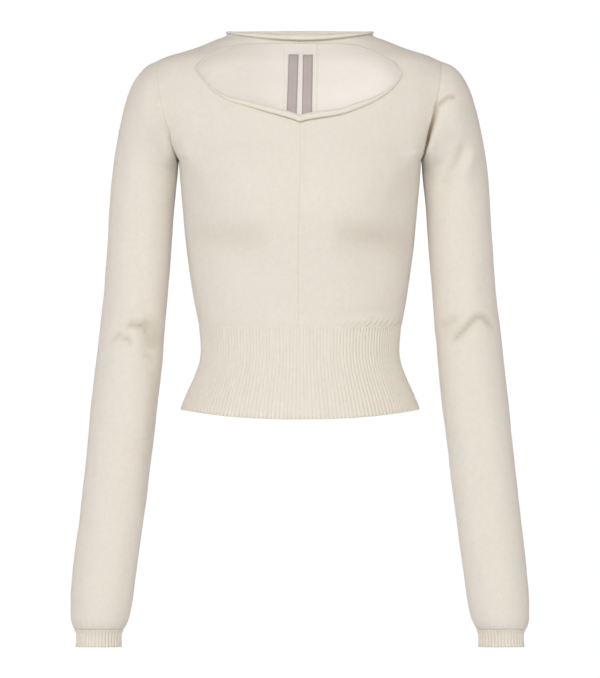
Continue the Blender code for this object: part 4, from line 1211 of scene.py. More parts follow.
# The hem's ribs. A pair is for the least sharpness and for the full one, unless it says otherwise, and places
# are shares of the hem's height from the seam down.
HEM_SHARPNESS = (0.15, 1.0)
HEM_SHARP_START = 0.15  # in half widths from the centre front
HEM_SHARP_RUN = 0.5
HEM_RIB_STARTS = (0.04, 0.03)
HEM_RISE_STARTS = (0.3, 1.0)  # at the seam and below it
HEM_RISES = (0.5, 0.95)
# Shade painted into the hem's valleys, into the slits just under its seam and along its bottom edge
HEM_PAINTED_SHADE_STARTS = (0.035, 0.02)
HEM_PAINTED_SHADES = (0.13, 0.25)
HEM_SLIT_PAINTED_SHADE = 0.6
HEM_SLIT_PLACE = 0.04
HEM_SLIT_SPREAD = 0.028
HEM_EDGE_PAINTED_SHADE = 0.4
CUFF_RISES = (0.4, 1.0)  # at the seam and below it
# Shade painted into the cuffs' valleys, deeper on the inner side of the arm, and along their bottom edge
CUFF_PAINTED_SHADES = (0.15, 0.45)  # on the outer side and on the inner side of the arm
CUFF_EDGE_PAINTED_SHADE = 0.4
HEM_ROWS = np.concatenate(
    [[0.0, 0.004, 0.01, 0.018, 0.028, 0.04, 0.06, 0.085], np.linspace(0.115, 0.965, 23), [0.99]]
)
CUFF_ROWS = np.concatenate([[0.0, 0.025, 0.06, 0.11], np.linspace(0.17, 0.95, 12), [0.985]])


def ribbed_rings(rib_count, section, rows, sizes_at, height_at, rise_at, painted_shade_at, wall):
    """Rings down the outside of a ribbed tube, round its edge and up its inside, and the shade painted on
    each point.
    """
    share = np.array([point.share for point in RIB_PROFILE])
    rise = np.tile([point.rise for point in RIB_PROFILE], rib_count)
    valley = np.tile([point.hollow for point in RIB_PROFILE], rib_count)
    rib = np.repeat(np.arange(rib_count), len(RIB_PROFILE))
    wander = RIB_WANDER * (np.sin(rib * 2.39996) + np.sin(rib * 1.1 + 0.6))
    shares = (rib + np.tile(share, rib_count) + wander) / rib_count
    down = np.concatenate([rows, [1.0, 1.0]])
    rings = []
    hollow = []
    last = len(down) - 1
    for number, place in enumerate(down):
        drift = RIB_DRIFT * np.sin(5.0 * place + 0.31 * rib) * place / rib_count
        turns = even_turns(shares + drift, *section)
        height = height_at(turns, place)
        sizes = sizes_at(height)
        height = height - RIB_END_DROP * (number >= last - 1) - RIB_CREST_DROP * (number == last) * (rise > 0)
        out = rise_at(place, turns) * rise - RIB_END_IN[max(0, number - last + 2)]
        flat = oval_points(turns, *sizes) + oval_outward(turns, *sizes) * out[:, None]
        rings.append(np.concatenate([flat, height[:, None]], axis=1))
        hollow.append(valley * painted_shade_at(place, turns))
    turns = even_turns(shares, *section)
    for place in np.linspace(1.0, 0.0, INNER_ROWS):
        height = height_at(turns, place) - RIB_INNER_DROP * (place == 1.0)
        sizes = sizes_at(height)
        flat = oval_points(turns, *sizes) - oval_outward(turns, *sizes) * wall
        rings.append(np.concatenate([flat, height[:, None]], axis=1))
        hollow.append(0.0 * valley)
    return np.array(rings), np.concatenate(hollow)


def rib_flat_places(rings, rib_count, pitch):
    """Across runs in whole pitches, so that a material finds each rib, and along is measured."""
    share = np.array([point.share for point in RIB_PROFILE])
    across = (np.repeat(np.arange(rib_count), len(share)) + np.tile(share, rib_count)) * pitch
    across = np.append(across, rib_count * pitch)
    steps = np.linalg.norm(np.roll(rings, -1, axis=0) - rings, axis=2).mean(axis=1)
    return across, np.concatenate([[0.0], np.cumsum(steps)])


def hem_rings(wall):
    def sizes_at(height):
        slimmer = HEM_SLIMMING * hump(height - HEM_WAIST_Z, HEM_WAIST_SPREAD)
        front, back = (depth(height) for depth in DEPTH_AT)
        return SIDE_WIDTH(height) - slimmer, front, back, ROUNDNESS(height)

    def height_at(turns, place):
        face = (np.cos(turns) < 0).astype(int)
        share = np.abs(np.sin(turns))
        top = np.where(face == BACK, rib_seam_height(share, BACK), rib_seam_height(share, FRONT)) - SEAM_GAP
        end = np.array(HEM_MIDDLE_Z)[face]
        bottom = HEM_SIDE_Z + (end - HEM_SIDE_Z) * np.cos(turns) ** 2
        return top + (bottom - top) * place

    def sharp_at(turns):
        """1 on the right of the front, where the ribs start sharply, and low elsewhere."""
        right = smooth_step((np.sin(turns) - HEM_SHARP_START) / HEM_SHARP_RUN)
        return between(HEM_SHARPNESS, right * (np.cos(turns) > 0))

    def rise_at(place, turns):
        sharp = sharp_at(turns)
        started = smooth_step(place / between(HEM_RIB_STARTS, sharp))
        return between(HEM_RISE_STARTS, started) * between(HEM_RISES, sharp)

    def painted_shade_at(place, turns):
        sharp = sharp_at(turns)
        slit = HEM_SLIT_PAINTED_SHADE * sharp * hump(place - HEM_SLIT_PLACE, HEM_SLIT_SPREAD)
        edge = HEM_EDGE_PAINTED_SHADE * smooth_step((place - 0.975) / 0.015)
        valley = between(HEM_PAINTED_SHADES, sharp) * smooth_step(place / between(HEM_PAINTED_SHADE_STARTS, sharp))
        return np.maximum(slit, np.maximum(edge, valley))

    section = sizes_at(HEM_SPACING_Z)
    return ribbed_rings(HEM_RIBS, section, HEM_ROWS, sizes_at, height_at, rise_at, painted_shade_at, wall)


def cuff_rings(side, wall):
    heights = [row.outer_z for row in CUFF]
    names = ("outer_x", "inner_x", "front", "back")
    outer_x, inner_x, front, back = (Curve(heights, [getattr(row, name) for row in CUFF]) for name in names)
    top = CUFF_SEAM_Z - CUFF_GAP

    def sizes_at(height):
        return (outer_x(height) - inner_x(height)) / 2, front(height), back(height), SLEEVE_ROUNDNESS

    def height_at(turns, place):
        return np.full_like(turns, top + (CUFF_BOTTOM_Z - top) * place)

    def rise_at(place, turns):
        return between(CUFF_RISES, smooth_step(place / 0.12))

    def painted_shade_at(place, turns):
        inner_side = smooth_step(0.5 - side * 0.6 * np.sin(turns))
        edge = CUFF_EDGE_PAINTED_SHADE * smooth_step((place - 0.96) / 0.03)
        return between(CUFF_PAINTED_SHADES, inner_side) * smooth_step(place / 0.1) + edge

    section = sizes_at(CUFF_BOTTOM_Z)
    rings, hollow = ribbed_rings(CUFF_RIBS, section, CUFF_ROWS, sizes_at, height_at, rise_at, painted_shade_at, wall)
    middle = side * (outer_x(rings[..., 2]) + inner_x(rings[..., 2])) / 2
    return rings + np.stack([middle, np.full_like(middle, CUFF_MIDDLE_Y), 0 * middle], axis=-1), hollow


# The curled edges


def on_panels(points, names):
    """Each point moved as the nearest bit of these panels was, and that bit's normal."""
    made = [panels()[name] for name in names]
    plain = np.concatenate([panel.plain for panel in made])
    moves = np.concatenate([panel.sheet.points - panel.plain for panel in made])
    normals = np.concatenate([panel.normals for panel in made])
    near = [int(np.argmin(((plain - point) ** 2).sum(axis=1))) for point in points]
    return points + moves[near], normals[near]


def smoothed(values, reach, closed):
    """Values down a row, each a soft average of those within about this many places of it."""
    steps = np.arange(-2 * reach, 2 * reach + 1)
    weights = np.exp(-((steps / reach) ** 2))
    number = np.arange(len(values))[:, None] + steps
    number = number % len(values) if closed else np.clip(number, 0, len(values) - 1)
    return (values[number] * weights[None, :, None]).sum(axis=1) / weights.sum()


def across_run(directions, run):
    """These directions, turned square to the edge's run."""
    return unit(directions - run * (directions * run).sum(axis=1)[:, None])


def uneven_radius(radius, edge, uneven):
    return radius * (1.0 + uneven.depth * unevenness(edge, uneven.size, uneven.seed))


def rolled_rings(edge, outward, beyond, radius, end, depth=1.0):
    """Closed outlines of a curled edge: out from the wall, over the top and down in front of it."""
    thickness = np.minimum(ROLL_WALL, ROLL_WALL_MOST * radius)[:, None, None]
    radius = radius[:, None, None]
    outward, beyond = outward[:, None], beyond[:, None]  # away from the body, and on past the edge
    centre = edge[:, None] + outward * (radius * depth - thickness + ROLL_CLEARANCE)

    def arc(turns, size):
        turns = turns[None, :, None]
        return centre + size * (depth * np.cos(turns) * outward + np.sin(turns) * beyond)

    turns = np.radians(np.linspace(ROLL_START, end, ROLL_STEPS + 1))
    outer = arc(turns, radius)
    tip = arc(turns[-1] - LIP_TURNS, radius - thickness * LIP_SHARES[:, None])
    inner = arc(turns[::-1], radius - thickness)
    start = arc(turns[0] + LIP_TURNS, radius - thickness * LIP_SHARES[::-1, None])
    return np.concatenate([outer, tip, inner, start], axis=1)


def make_neck_roll(finish):
    loops = [np.linspace(-TIP_COLUMN, TIP_COLUMN, count + 1)[:-1] for count in NECK_ROLL_COLUMNS]
    loops[BACK] = -loops[BACK]
    plain = []
    for face, columns in enumerate(loops):
        places = neck_places(np.abs(columns), face)
        plain.append(body_points(np.copysign(places[:, 0], columns), places[:, 1], face))
    edge, normals = on_panels(np.concatenate(plain), ["front_left", "front_right", "back"])
    edge = smoothed(edge, EDGE_SMOOTHING, True)
    run = unit(np.roll(edge, -1, axis=0) - np.roll(edge, 1, axis=0))
    run = unit(smoothed(run, EDGE_SMOOTHING, True))
    outward = across_run(smoothed(normals, NORMAL_SMOOTHING, True), run)
    beyond = np.cross(outward, run)
    beyond *= np.sign(beyond[:, 2:3])
    face = np.repeat([FRONT, BACK], NECK_ROLL_COLUMNS)
    radius = neck_roll_radius(face, to_corner(np.concatenate(loops)))
    radius = uneven_radius(radius, edge, NECK_ROLL_UNEVENNESS)
    rings = rolled_rings(edge, outward, beyond, radius, NECK_ROLL_END)
    return loop_piece("neck_roll_knit", rings, [finish], False)


def make_cutout_roll(name, side, finish):
    shares = edge_share(TIP_COLUMN * crowded(CUTOUT_ROLL_COLUMNS, CUTOUT_ROLL_CROWDING))
    x, height = cutout_edge(CUTOUT_LOWER, side, shares).T
    edge, normals = on_panels(body_points(side * x, height, FRONT), [f"front_{name}"])
    run = np.gradient(edge, axis=0) * side
    run[:CUTOUT_ROLL_START, 1:] = 0.0  # it starts straight across, to meet the other half
    run = unit(smoothed(unit(run), EDGE_SMOOTHING, False))
    outward = across_run(smoothed(normals, NORMAL_SMOOTHING, False), run)
    radius = uneven_radius(cutout_roll_radius(side, shares), edge, CUTOUT_ROLL_UNEVENNESS)
    rings = rolled_rings(edge, outward, np.cross(outward, run), radius, CUTOUT_ROLL_END, CUTOUT_ROLL_DEPTH)
    return loop_piece(f"cutout_roll_{name}_knit", rings, [finish], True)


# The strip and the tapes on the inner side of the back


def inside_places(strip, across, up):
    """Places on the inner side of the back, and the direction out through its cloth."""
    back = bpy.data.objects["back_knit"].data
    tree = BVHTree.FromPolygons([v.co for v in back.vertices], [list(p.vertices) for p in back.polygons])
    top, bottom = np.array([strip.top_x, strip.top_z]), np.array([strip.bottom_x, strip.bottom_z])
    x, z = (bottom + (top - bottom) * up[:, None]).T
    x = x + strip.width * (across - 0.5)
    backward = Vector((0.0, 1.0, 0.0))
    starts = (Vector((a * MM, 0.0, b * MM)) for a, b in zip(x, z))
    points = np.array([tree.ray_cast(start, backward)[0] for start in starts]) / MM
    to_side = body_points(x + 1.0, z, BACK) - body_points(x - 1.0, z, BACK)
    upward = body_points(x, z + 1.0, BACK) - body_points(x, z - 1.0, BACK)
    return points, unit(np.cross(upward, to_side))


def strip_piece(name, strip, counts, wave, materials):
    """A flat wall on the back's inner side, with the grids of its visible face and of the way out from that.

    wave(across, up) is how far the cloth stands off the back, in millimetres.
    """
    columns, rows = counts
    across, up = np.meshgrid(np.linspace(0, 1, columns + 1), np.linspace(0, 1, rows + 1))
    shape = (rows + 1, columns + 1, 3)
    across, up = across.ravel(), up.ravel()
    points, outward = inside_places(strip, across, up)
    points = points - outward * (strip.lift + wave(across, up))[:, None]
    length = math.hypot(strip.top_x - strip.bottom_x, strip.top_z - strip.bottom_z)
    from_edge = np.minimum(np.minimum(across, 1 - across) * strip.width, np.minimum(up, 1 - up) * length)
    share = between(STRIP_THICKNESSES, smooth_step(from_edge / STRIP_EDGE_WIDTH))
    thickness = strip.thickness * share[:, None]
    piece = wall_piece(name, Sheet.grid(points.reshape(shape), True), outward, thickness, materials)
    return piece, (points - outward * thickness).reshape(shape), -outward.reshape(shape)


def stitch_row(name, places, runs, outs, width, finish):
    """Small stitches, each a little bead of thread that lies along its run."""
    bead = bmesh.new()
    bmesh.ops.create_icosphere(bead, subdivisions=1, radius=1.0)
    shape = np.array([vertex.co for vertex in bead.verts])
    triangles = np.array([[vertex.index for vertex in face.verts] for face in bead.faces])
    bead.free()
    sides = np.cross(outs, runs)
    points = places[:, None] + (
        shape[None, :, 0:1] * runs[:, None] * STITCH_LENGTH / 2
        + shape[None, :, 1:2] * sides[:, None] * width / 2
        + shape[None, :, 2:3] * outs[:, None] * width / (2 * STITCH_FLATTENING)
    )
    numbers = np.arange(len(places))[:, None, None] * len(shape) + triangles[None]
    new_mesh(name, points.reshape(-1, 3), numbers.reshape(-1, 3), None, [finish])


def on_grid(grid, across, up):
    """The value of a grid of points at shares of its width and height."""
    rows, columns = grid.shape[0] - 1, grid.shape[1] - 1
    column, row = min(int(across * columns), columns - 1), min(int(up * rows), rows - 1)
    a, b = across * columns - column, up * rows - row
    low = grid[row, column] * (1 - a) + grid[row, column + 1] * a
    high = grid[row + 1, column] * (1 - a) + grid[row + 1, column + 1] * a
    return low * (1 - b) + high * b


def border_stitches(name, strip, grid, facing, sewing, finish):
    """Stitches down a strip's long borders, and across its ends where it is sewn all round."""
    length = np.linalg.norm(grid[-1, 0] - grid[0, 0])
    left, low = sewing.inset / strip.width, sewing.inset / length
    right, high = 1 - left, 1 - low
    routes = [((left, low), (left, high), length), ((right, low), (right, high), length)]
    if sewing.round_ends:
        routes += [((left, low), (right, low), strip.width), ((left, high), (right, high), strip.width)]
    places, runs, outs = [], [], []
    for start, stop, size in routes:
        start, way = np.array(start), np.subtract(stop, start)
        count = max(2, int(round((size - 2 * sewing.inset) / sewing.pitch)))
        for t in (np.arange(count) + 0.5) / count:
            place = on_grid(grid, *(start + way * t))
            places.append(place)
            runs.append(unit(on_grid(grid, *(start + way * t + way * 0.01)) - place))
            outs.append(unit(on_grid(facing, *(start + way * t))))
    stitch_row(name, np.array(places), np.array(runs), np.array(outs), sewing.thickness, finish)


# Finishes

# Soft spots: how many to a metre, how fine and rough they are, and how far they change the cloth's shade
Spots = namedtuple("Spots", "scale detail rough strength", defaults=(0.5, 1.0))
CLOUDS = Spots(34.0, 3.0, 0.5, 0.12)
GRAIN = Spots(520.0, 2.0, 0.6, 0.5)
STREAKS = Spots(150.0, 1.0, 0.5, 0.34)
TAPE_CLOUDS = Spots(120.0, 3.0, 0.5, 0.5)
TWIST = Spots(2600.0, 1.0)
FLOOR_SPECKS = Spots(60.0, 2.0)

# Shades of the cloth's colour: painted shade in its gaps and painted light on its threads, then in its
# darkest and its lightest spots
KNIT_PAINTED_GAP_SHADES = (0.90, 1.035)
KNIT_SPOT_SHADES = (0.90, 1.08)
TAPE_PAINTED_WEAVE_SHADES = (0.94, 1.05)
TAPE_SPOT_SHADES = (0.9, 1.1)
THREAD_SHADES = (0.85, 1.1)
FLOOR_SHADES = (0.90, 0.93)

# Fine relief: how deep it is in metres, and how strongly it tells
Bump = namedtuple("Bump", "distance strength")
KNIT_BUMP = Bump(0.00028, 0.9)
TAPE_BUMP = Bump(0.0001, 0.6)
THREAD_BUMP = Bump(0.00008, 0.6)
FLOOR_BUMP = Bump(0.0002, 0.1)


class Value:
    """A number or a colour that runs through a material, with Python's own signs for its maths."""

    def __init__(self, finish, socket):
        self.finish = finish
        self.socket = socket

    def _maths(self, operation, *values):
        return self.finish.node("ShaderNodeMath", {"operation": operation}, dict(enumerate(values)))

    def __add__(self, other):
        return self._maths("ADD", self, other)

    def __sub__(self, other):
        return self._maths("SUBTRACT", self, other)

    def __rsub__(self, other):
        return self._maths("SUBTRACT", other, self)

    def __mul__(self, other):
        return self._maths("MULTIPLY", self, other)

    def __truediv__(self, other):
        return self._maths("DIVIDE", self, other)

    def __pow__(self, other):
        return self._maths("POWER", self, other)

    def __abs__(self):
        return self._maths("ABSOLUTE", self)

    def fraction(self):
        return self._maths("FRACT", self)

    def sine(self):
        return self._maths("SINE", self)

    def at_most(self, other):
        return self._maths("MINIMUM", self, other)

    def ramp(self, low, high):
        """0 at low and 1 at high, held there outside them, with a soft turn at each."""
        return self.finish.node(
            "ShaderNodeMapRange",
            {"interpolation_type": "SMOOTHSTEP"},
            {"Value": self, "From Min": low, "From Max": high, "To Min": 0.0, "To Max": 1.0},
        )


class Finish:
    """The nodes of one material."""

    def __init__(self, name):
        self.material = bpy.data.materials.new(name)
        self.material.use_nodes = True
        self.tree = self.material.node_tree
        self.tree.nodes.clear()

    def node(self, kind, settings=None, values=None, output=0):
        """A node of this type. Its settings come first, then the values or links of its sockets."""
        made = self.tree.nodes.new(kind)
        for key, value in (settings or {}).items():
            setattr(made, key, value)
        for key, value in (values or {}).items():
            if isinstance(value, Value):
                self.tree.links.new(value.socket, made.inputs[key])
            else:
                made.inputs[key].default_value = value
        return Value(self, made.outputs[output])

    def flat_place(self):
        """Millimetres across and along the flat cloth."""
        place = self.node("ShaderNodeUVMap", {"uv_map": "cloth"})
        parts = {"Vector": place}
        return (self.node("ShaderNodeSeparateXYZ", None, parts, output) * (1.0 / MM) for output in (0, 1))

    def noise(self, spots):
        """Soft random numbers about 0.5, over the piece's own space."""
        place = self.node("ShaderNodeTexCoord", None, None, "Object")
        values = {"Vector": place, "Scale": spots.scale, "Detail": spots.detail, "Roughness": spots.rough}
        return self.node("ShaderNodeTexNoise", None, values, "Fac")

    def mix(self, share, one, other):
        return self.node("ShaderNodeMix", {"data_type": "RGBA"}, {0: share, 6: one, 7: other}, 2)

    def scaled(self, colour, factor):
        """A colour made lighter or darker."""
        return self.node("ShaderNodeVectorMath", {"operation": "SCALE"}, {0: colour, "Scale": factor})

    def cloth(self, colour, roughness, height, bump, **extra):
        """Ends the material as cloth with this colour and relief."""
        values = {"Strength": bump.strength, "Distance": bump.distance, "Height": height}
        normal = self.node("ShaderNodeBump", None, values)
        values = {"Base Color": colour, "Roughness": roughness, "Normal": normal, "IOR": 1.4, **extra}
        shader = self.node("ShaderNodeBsdfPrincipled", None, values, "BSDF")
        self.end_with(shader)
        return self.material

    def end_with(self, shader):
        made = self.tree.nodes.new("ShaderNodeOutputMaterial")
        self.tree.links.new(shader.socket, made.inputs["Surface"])


def opaque(colour, shade=1.0):
    return tuple(part * shade for part in colour) + (1.0,)


def stitch_relief(across, along):
    """The V shapes of plain knit: two leaning legs to each wale, with a bulge for each course."""
    leg = abs(across.fraction() * 2.0 - 1.0)
    round_leg = 1.0 - abs(leg * 2.0 - 1.0) ** 2.0
    rise = (along + leg * 0.75).fraction()
    bulge = (rise * math.pi).sine()
    return round_leg * (bulge * 0.65 + 0.35)


def knit_finish(name, colour, cloth, wale, glow=0.0):
    """Fine knit: rows of small V stitches with shade painted between them, faint mottling and fibres, and
    shade painted into hollows.

    wale is the width of one column of stitches in millimetres.
    """
    finish = Finish(name)
    across, along = finish.flat_place()
    stitch = stitch_relief(across / wale, along / (cloth.course / MM))
    cloudy, grain, streak = (finish.noise(spots) for spots in (CLOUDS, GRAIN, STREAKS))
    painted_gap_shade, thread = (opaque(colour, factor) for factor in KNIT_PAINTED_GAP_SHADES)
    shade = finish.mix(stitch.ramp(0.0, 0.75), painted_gap_shade, thread)
    tone = (cloudy - 0.5) * CLOUDS.strength + (grain - 0.5) * GRAIN.strength
    tone = tone + (streak - 0.5) * STREAKS.strength + 0.5
    shade = finish.mix(tone, *(finish.scaled(shade, factor) for factor in KNIT_SPOT_SHADES))
    # Shade painted into seams, folds, creases and rib valleys: the hollow attribute mixes in its colour
    hollow = finish.node("ShaderNodeAttribute", {"attribute_name": "hollow"}, None, "Fac")
    shade = finish.mix(hollow.at_most(1.0), shade, opaque(tuple(cloth.painted_shade_colour)))
    height = stitch * 0.75 + grain * 0.35
    roughness = 0.98 - stitch * 0.08
    extra = {"Sheen Weight": 0.4, "Sheen Roughness": 0.5, "Specular IOR Level": 0.3}
    # A painted glow: emission that stands in for light coming through the cloth
    if glow:
        extra |= {"Emission Color": opaque(colour), "Emission Strength": glow}
    return finish.cloth(shade, roughness, height, KNIT_BUMP, **extra)


def tape_finish(name, colour):
    """Plain-woven tape, with light and shade painted on its weave, and faint soft creases."""
    finish = Finish(name)
    across, along = finish.flat_place()
    over = (across / TAPE_THREADS[0] * math.pi).sine() * (along / TAPE_THREADS[1] * math.pi).sine()
    cloudy = finish.noise(TAPE_CLOUDS)
    shade = finish.mix(over * 0.5 + 0.5, *(opaque(colour, factor) for factor in TAPE_PAINTED_WEAVE_SHADES))
    tone = (cloudy - 0.5) * TAPE_CLOUDS.strength + 0.5
    shade = finish.mix(tone, *(finish.scaled(shade, factor) for factor in TAPE_SPOT_SHADES))
    return finish.cloth(shade, 0.7, over * 0.5 + cloudy, TAPE_BUMP, **{"Sheen Weight": 0.15})


def thread_finish(name, colour):
    """Twisted sewing thread."""
    finish = Finish(name)
    twist = finish.noise(TWIST)
    shade = finish.mix(twist, *(opaque(colour, factor) for factor in THREAD_SHADES))
    return finish.cloth(shade, 0.75, twist, THREAD_BUMP)


def made_once(name, make, *values):
    """The material of this name, made if it isn't there."""
    return bpy.data.materials.get(name) or make(name, *values)


def knit(cloth):
    return made_once("knit_outside", knit_finish, tuple(cloth.knit_colour), cloth, cloth.wale / MM)


# The inner side: lighter than the outside, partly as painted light, and glowing as painted light, for the
# light coming through the cloth
def knit_inside(cloth):
    wale = cloth.wale / MM
    return made_once("knit_inside", knit_finish, tuple(cloth.inside_colour_with_painted_light), cloth, wale, cloth.inside_painted_glow)


def rib_knit(name, cloth, pitch):
    """The knit of a rib: a column of stitches on its crest and one in its valley."""
    return made_once(name, knit_finish, tuple(cloth.rib_colour), cloth, pitch / 2)


# Operators


def dress(piece, node):
    """Hides the solid that a piece takes the place of."""
    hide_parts(node)


def make_panel(context, node):
    cloth = context.scene.sweater_cloth
    panel = panels()[node]
    finishes = [knit(cloth), knit_inside(cloth)]
    piece = wall_piece(f"{node}_knit", panel.sheet, panel.normals, cloth.wall / MM, finishes, panel.hollow)
    dress(piece, node)


class SWEATER_OT_back(bpy.types.Operator):
    """Make the back, one piece from side seam to side seam"""

    bl_idname = "sweater.back"
    bl_label = "Back"

    def execute(self, context):
        make_panel(context, "back")
        return {"FINISHED"}


class SWEATER_OT_fronts(bpy.types.Operator):
    """Make the two front halves, which meet in the centre seam and leave the cutout open"""

    bl_idname = "sweater.fronts"
    bl_label = "Fronts"

    def execute(self, context):
        for node in ("front_left", "front_right"):
            make_panel(context, node)
        return {"FINISHED"}


class SWEATER_OT_sleeves(bpy.types.Operator):
    """Make the two extra-long sleeves"""

    bl_idname = "sweater.sleeves"
    bl_label = "Sleeves"

    def execute(self, context):
        for node in ("sleeve_left", "sleeve_right"):
            make_panel(context, node)
        return {"FINISHED"}


class SWEATER_OT_rib_hem(bpy.types.Operator):
    """Make the deep ribbed hem"""

    bl_idname = "sweater.rib_hem"
    bl_label = "Rib Hem"

    def execute(self, context):
        cloth = context.scene.sweater_cloth
        rings, hollow = hem_rings(cloth.wall / MM)
        finish = rib_knit("rib_hem_knit", cloth, HEM_RIB_PITCH)
        across, along = rib_flat_places(rings, HEM_RIBS, HEM_RIB_PITCH)
        piece = loop_piece("rib_hem_knit", rings, [finish], False, across, along, hollow)
        dress(piece, "rib_hem")
        return {"FINISHED"}


class SWEATER_OT_cuffs(bpy.types.Operator):
    """Make the two narrow ribbed cuffs"""

    bl_idname = "sweater.cuffs"
    bl_label = "Cuffs"

    def execute(self, context):
        cloth = context.scene.sweater_cloth
        finish = rib_knit("rib_cuff_knit", cloth, CUFF_RIB_PITCH)
        for name, side in (("left", -1), ("right", 1)):
            rings, hollow = cuff_rings(side, cloth.wall / MM)
            across, along = rib_flat_places(rings, CUFF_RIBS, CUFF_RIB_PITCH)
            piece = loop_piece(f"cuff_{name}_knit", rings, [finish], False, across, along, hollow)
            dress(piece, f"cuff_{name}")
        return {"FINISHED"}


class SWEATER_OT_neck_roll(bpy.types.Operator):
    """Make the curled edge round the neck"""

    bl_idname = "sweater.neck_roll"
    bl_label = "Neck Roll"

    def execute(self, context):
        piece = make_neck_roll(knit(context.scene.sweater_cloth))
        dress(piece, "neck_roll")
        return {"FINISHED"}


class SWEATER_OT_cutout_rolls(bpy.types.Operator):
    """Make the curled lower edges of the cutout"""

    bl_idname = "sweater.cutout_rolls"
    bl_label = "Cutout Rolls"

    def execute(self, context):
        finish = knit(context.scene.sweater_cloth)
        for name, side in (("left", -1), ("right", 1)):
            piece = make_cutout_roll(name, side, finish)
            dress(piece, f"cutout_roll_{name}")
        return {"FINISHED"}


class SWEATER_OT_back_strip(bpy.types.Operator):
    """Make the knit strip down the inner side of the back, with its rows of stitches"""

    bl_idname = "sweater.back_strip"
    bl_label = "Back Strip"

    def execute(self, context):
        cloth = context.scene.sweater_cloth

        def wave(across, up):
            return 0.12 * np.sin(9 * up + 3 * across) + 0.1

        finishes = [knit_inside(cloth)]
        piece, grid, facing = strip_piece("back_strip_knit", BACK_STRIP, STRIP_COUNTS, wave, finishes)
        dress(piece, "back_strip")
        thread = made_once("strip_thread", thread_finish, tuple(cloth.thread_colour))
        border_stitches("back_strip_stitches", BACK_STRIP, grid, facing, STRIP_SEWING, thread)
        return {"FINISHED"}


class SWEATER_OT_tapes(bpy.types.Operator):
    """Make the two bare woven tapes sewn on the strip, with stitches round their borders"""

    bl_idname = "sweater.tapes"
    bl_label = "Tapes"

    def execute(self, context):
        cloth = context.scene.sweater_cloth
        finish = made_once("woven_tape", tape_finish, tuple(cloth.tape_colour))
        thread = made_once("tape_thread", thread_finish, tuple(cloth.tape_thread_colour))
        for number, (node, tape) in enumerate(TAPES.items()):

            def wave(across, up):
                slant = up * 9 + across * (1.6 if number else -1.4)
                middle = np.sin(np.pi * across) ** 0.6
                return 0.12 + middle * (0.16 + 0.22 * np.maximum(0, np.sin(slant * 2.2 + number)) ** 2)

            piece, grid, facing = strip_piece(f"{node}_woven", tape, TAPE_COUNTS, wave, [finish])
            dress(piece, node)
            border_stitches(f"{node}_stitches", tape, grid, facing, TAPE_SEWING, thread)
        return {"FINISHED"}


# The studio's lights, in metres: each one's power is a share of a setting
PLAIN = (1.0, 1.0, 1.0)
WARM = (1.0, 0.89, 0.84)
COOL = (0.8, 0.88, 1.0)
NEARLY_PLAIN = (0.9, 1.0, 0.98)
CHEST = (0.0, 0.0, -0.3)
VIEW_CENTRE_Z = -0.3775
SENSOR_WIDTH = 36.0
FLOOR_DROP = 0.19
FLOOR_RADIUS = 3.0
BACKDROP_RADIUS = 24.5
Lamp = namedtuple("Lamp", "name place size setting share colour")
LAMPS = [
    Lamp("key_light", (-2.0, -4.0, 2.4), (2.4, 2.4), "key_power", 1.0, PLAIN),
    Lamp("low_light", (-2.8, -3.8, 1.2), (2.4, 2.4), "key_power", 0.38, COOL),
    Lamp("front_light", (0.1, -6.0, 0.2), (1.6, 1.6), "front_power", 1.0, NEARLY_PLAIN),
    Lamp("right_light", (3.0, -3.0, 0.2), (1.6, 2.6), "side_power", 4.2, PLAIN),
    Lamp("right_side_light", (3.8, -1.2, -0.2), (1.6, 2.6), "side_power", 3.5, PLAIN),
    Lamp("left_light", (-3.4, -1.6, 0.2), (1.6, 2.6), "side_power", 1.6, PLAIN),
    Lamp("back_left_light", (-3.4, 3.0, -0.3), (1.6, 2.6), "side_power", 7.0, PLAIN),
    Lamp("back_right_light", (3.4, 3.0, -0.3), (1.6, 2.6), "side_power", 5.0, PLAIN),
]


def area_light(lamp, power):
    """A soft rectangle of light that faces the chest."""
    light = bpy.data.lights.new(lamp.name, "AREA")
    light.shape = "RECTANGLE"
    light.size, light.size_y = lamp.size
    light.energy = power
    light.color = lamp.colour
    thing = bpy.data.objects.new(lamp.name, light)
    bpy.context.scene.collection.objects.link(thing)
    thing.location = lamp.place
    thing.rotation_euler = (Vector(CHEST) - Vector(lamp.place)).to_track_quat("-Z", "Y").to_euler()
    thing.visible_camera = False


def stage_mesh(name, points, faces, material):
    mesh = bpy.data.meshes.new(name)
    mesh.from_pydata(points, [], faces)
    mesh.materials.append(material)
    mesh.shade_smooth()
    thing = bpy.data.objects.new(name, mesh)
    bpy.context.scene.collection.objects.link(thing)
    return thing


def make_floor(height):
    finish = Finish("pale_floor")
    speck = finish.noise(FLOOR_SPECKS)
    shade = finish.mix(speck, *(opaque(PLAIN, factor) for factor in FLOOR_SHADES))
    material = finish.cloth(shade, 0.8, speck, FLOOR_BUMP)
    turns = np.linspace(0, 2 * np.pi, 97)[:-1]
    points = [(FLOOR_RADIUS * math.cos(t), FLOOR_RADIUS * math.sin(t), height) for t in turns]
    stage_mesh("floor", points, [list(range(len(points)))], material)


def make_backdrop():
    finish = Finish("white_backdrop")
    glow = {"Color": opaque(PLAIN), "Strength": 1.02}
    shader = finish.node("ShaderNodeEmission", None, glow, "Emission")
    finish.end_with(shader)
    work = bmesh.new()
    bmesh.ops.create_icosphere(work, subdivisions=4, radius=BACKDROP_RADIUS)
    points = [tuple(vertex.co) for vertex in work.verts]
    faces = [[vertex.index for vertex in reversed(face.verts)] for face in work.faces]
    work.free()
    dome = stage_mesh("backdrop", points, faces, finish.material)
    dome.visible_diffuse = dome.visible_glossy = dome.visible_transmission = False
    dome.visible_shadow = False


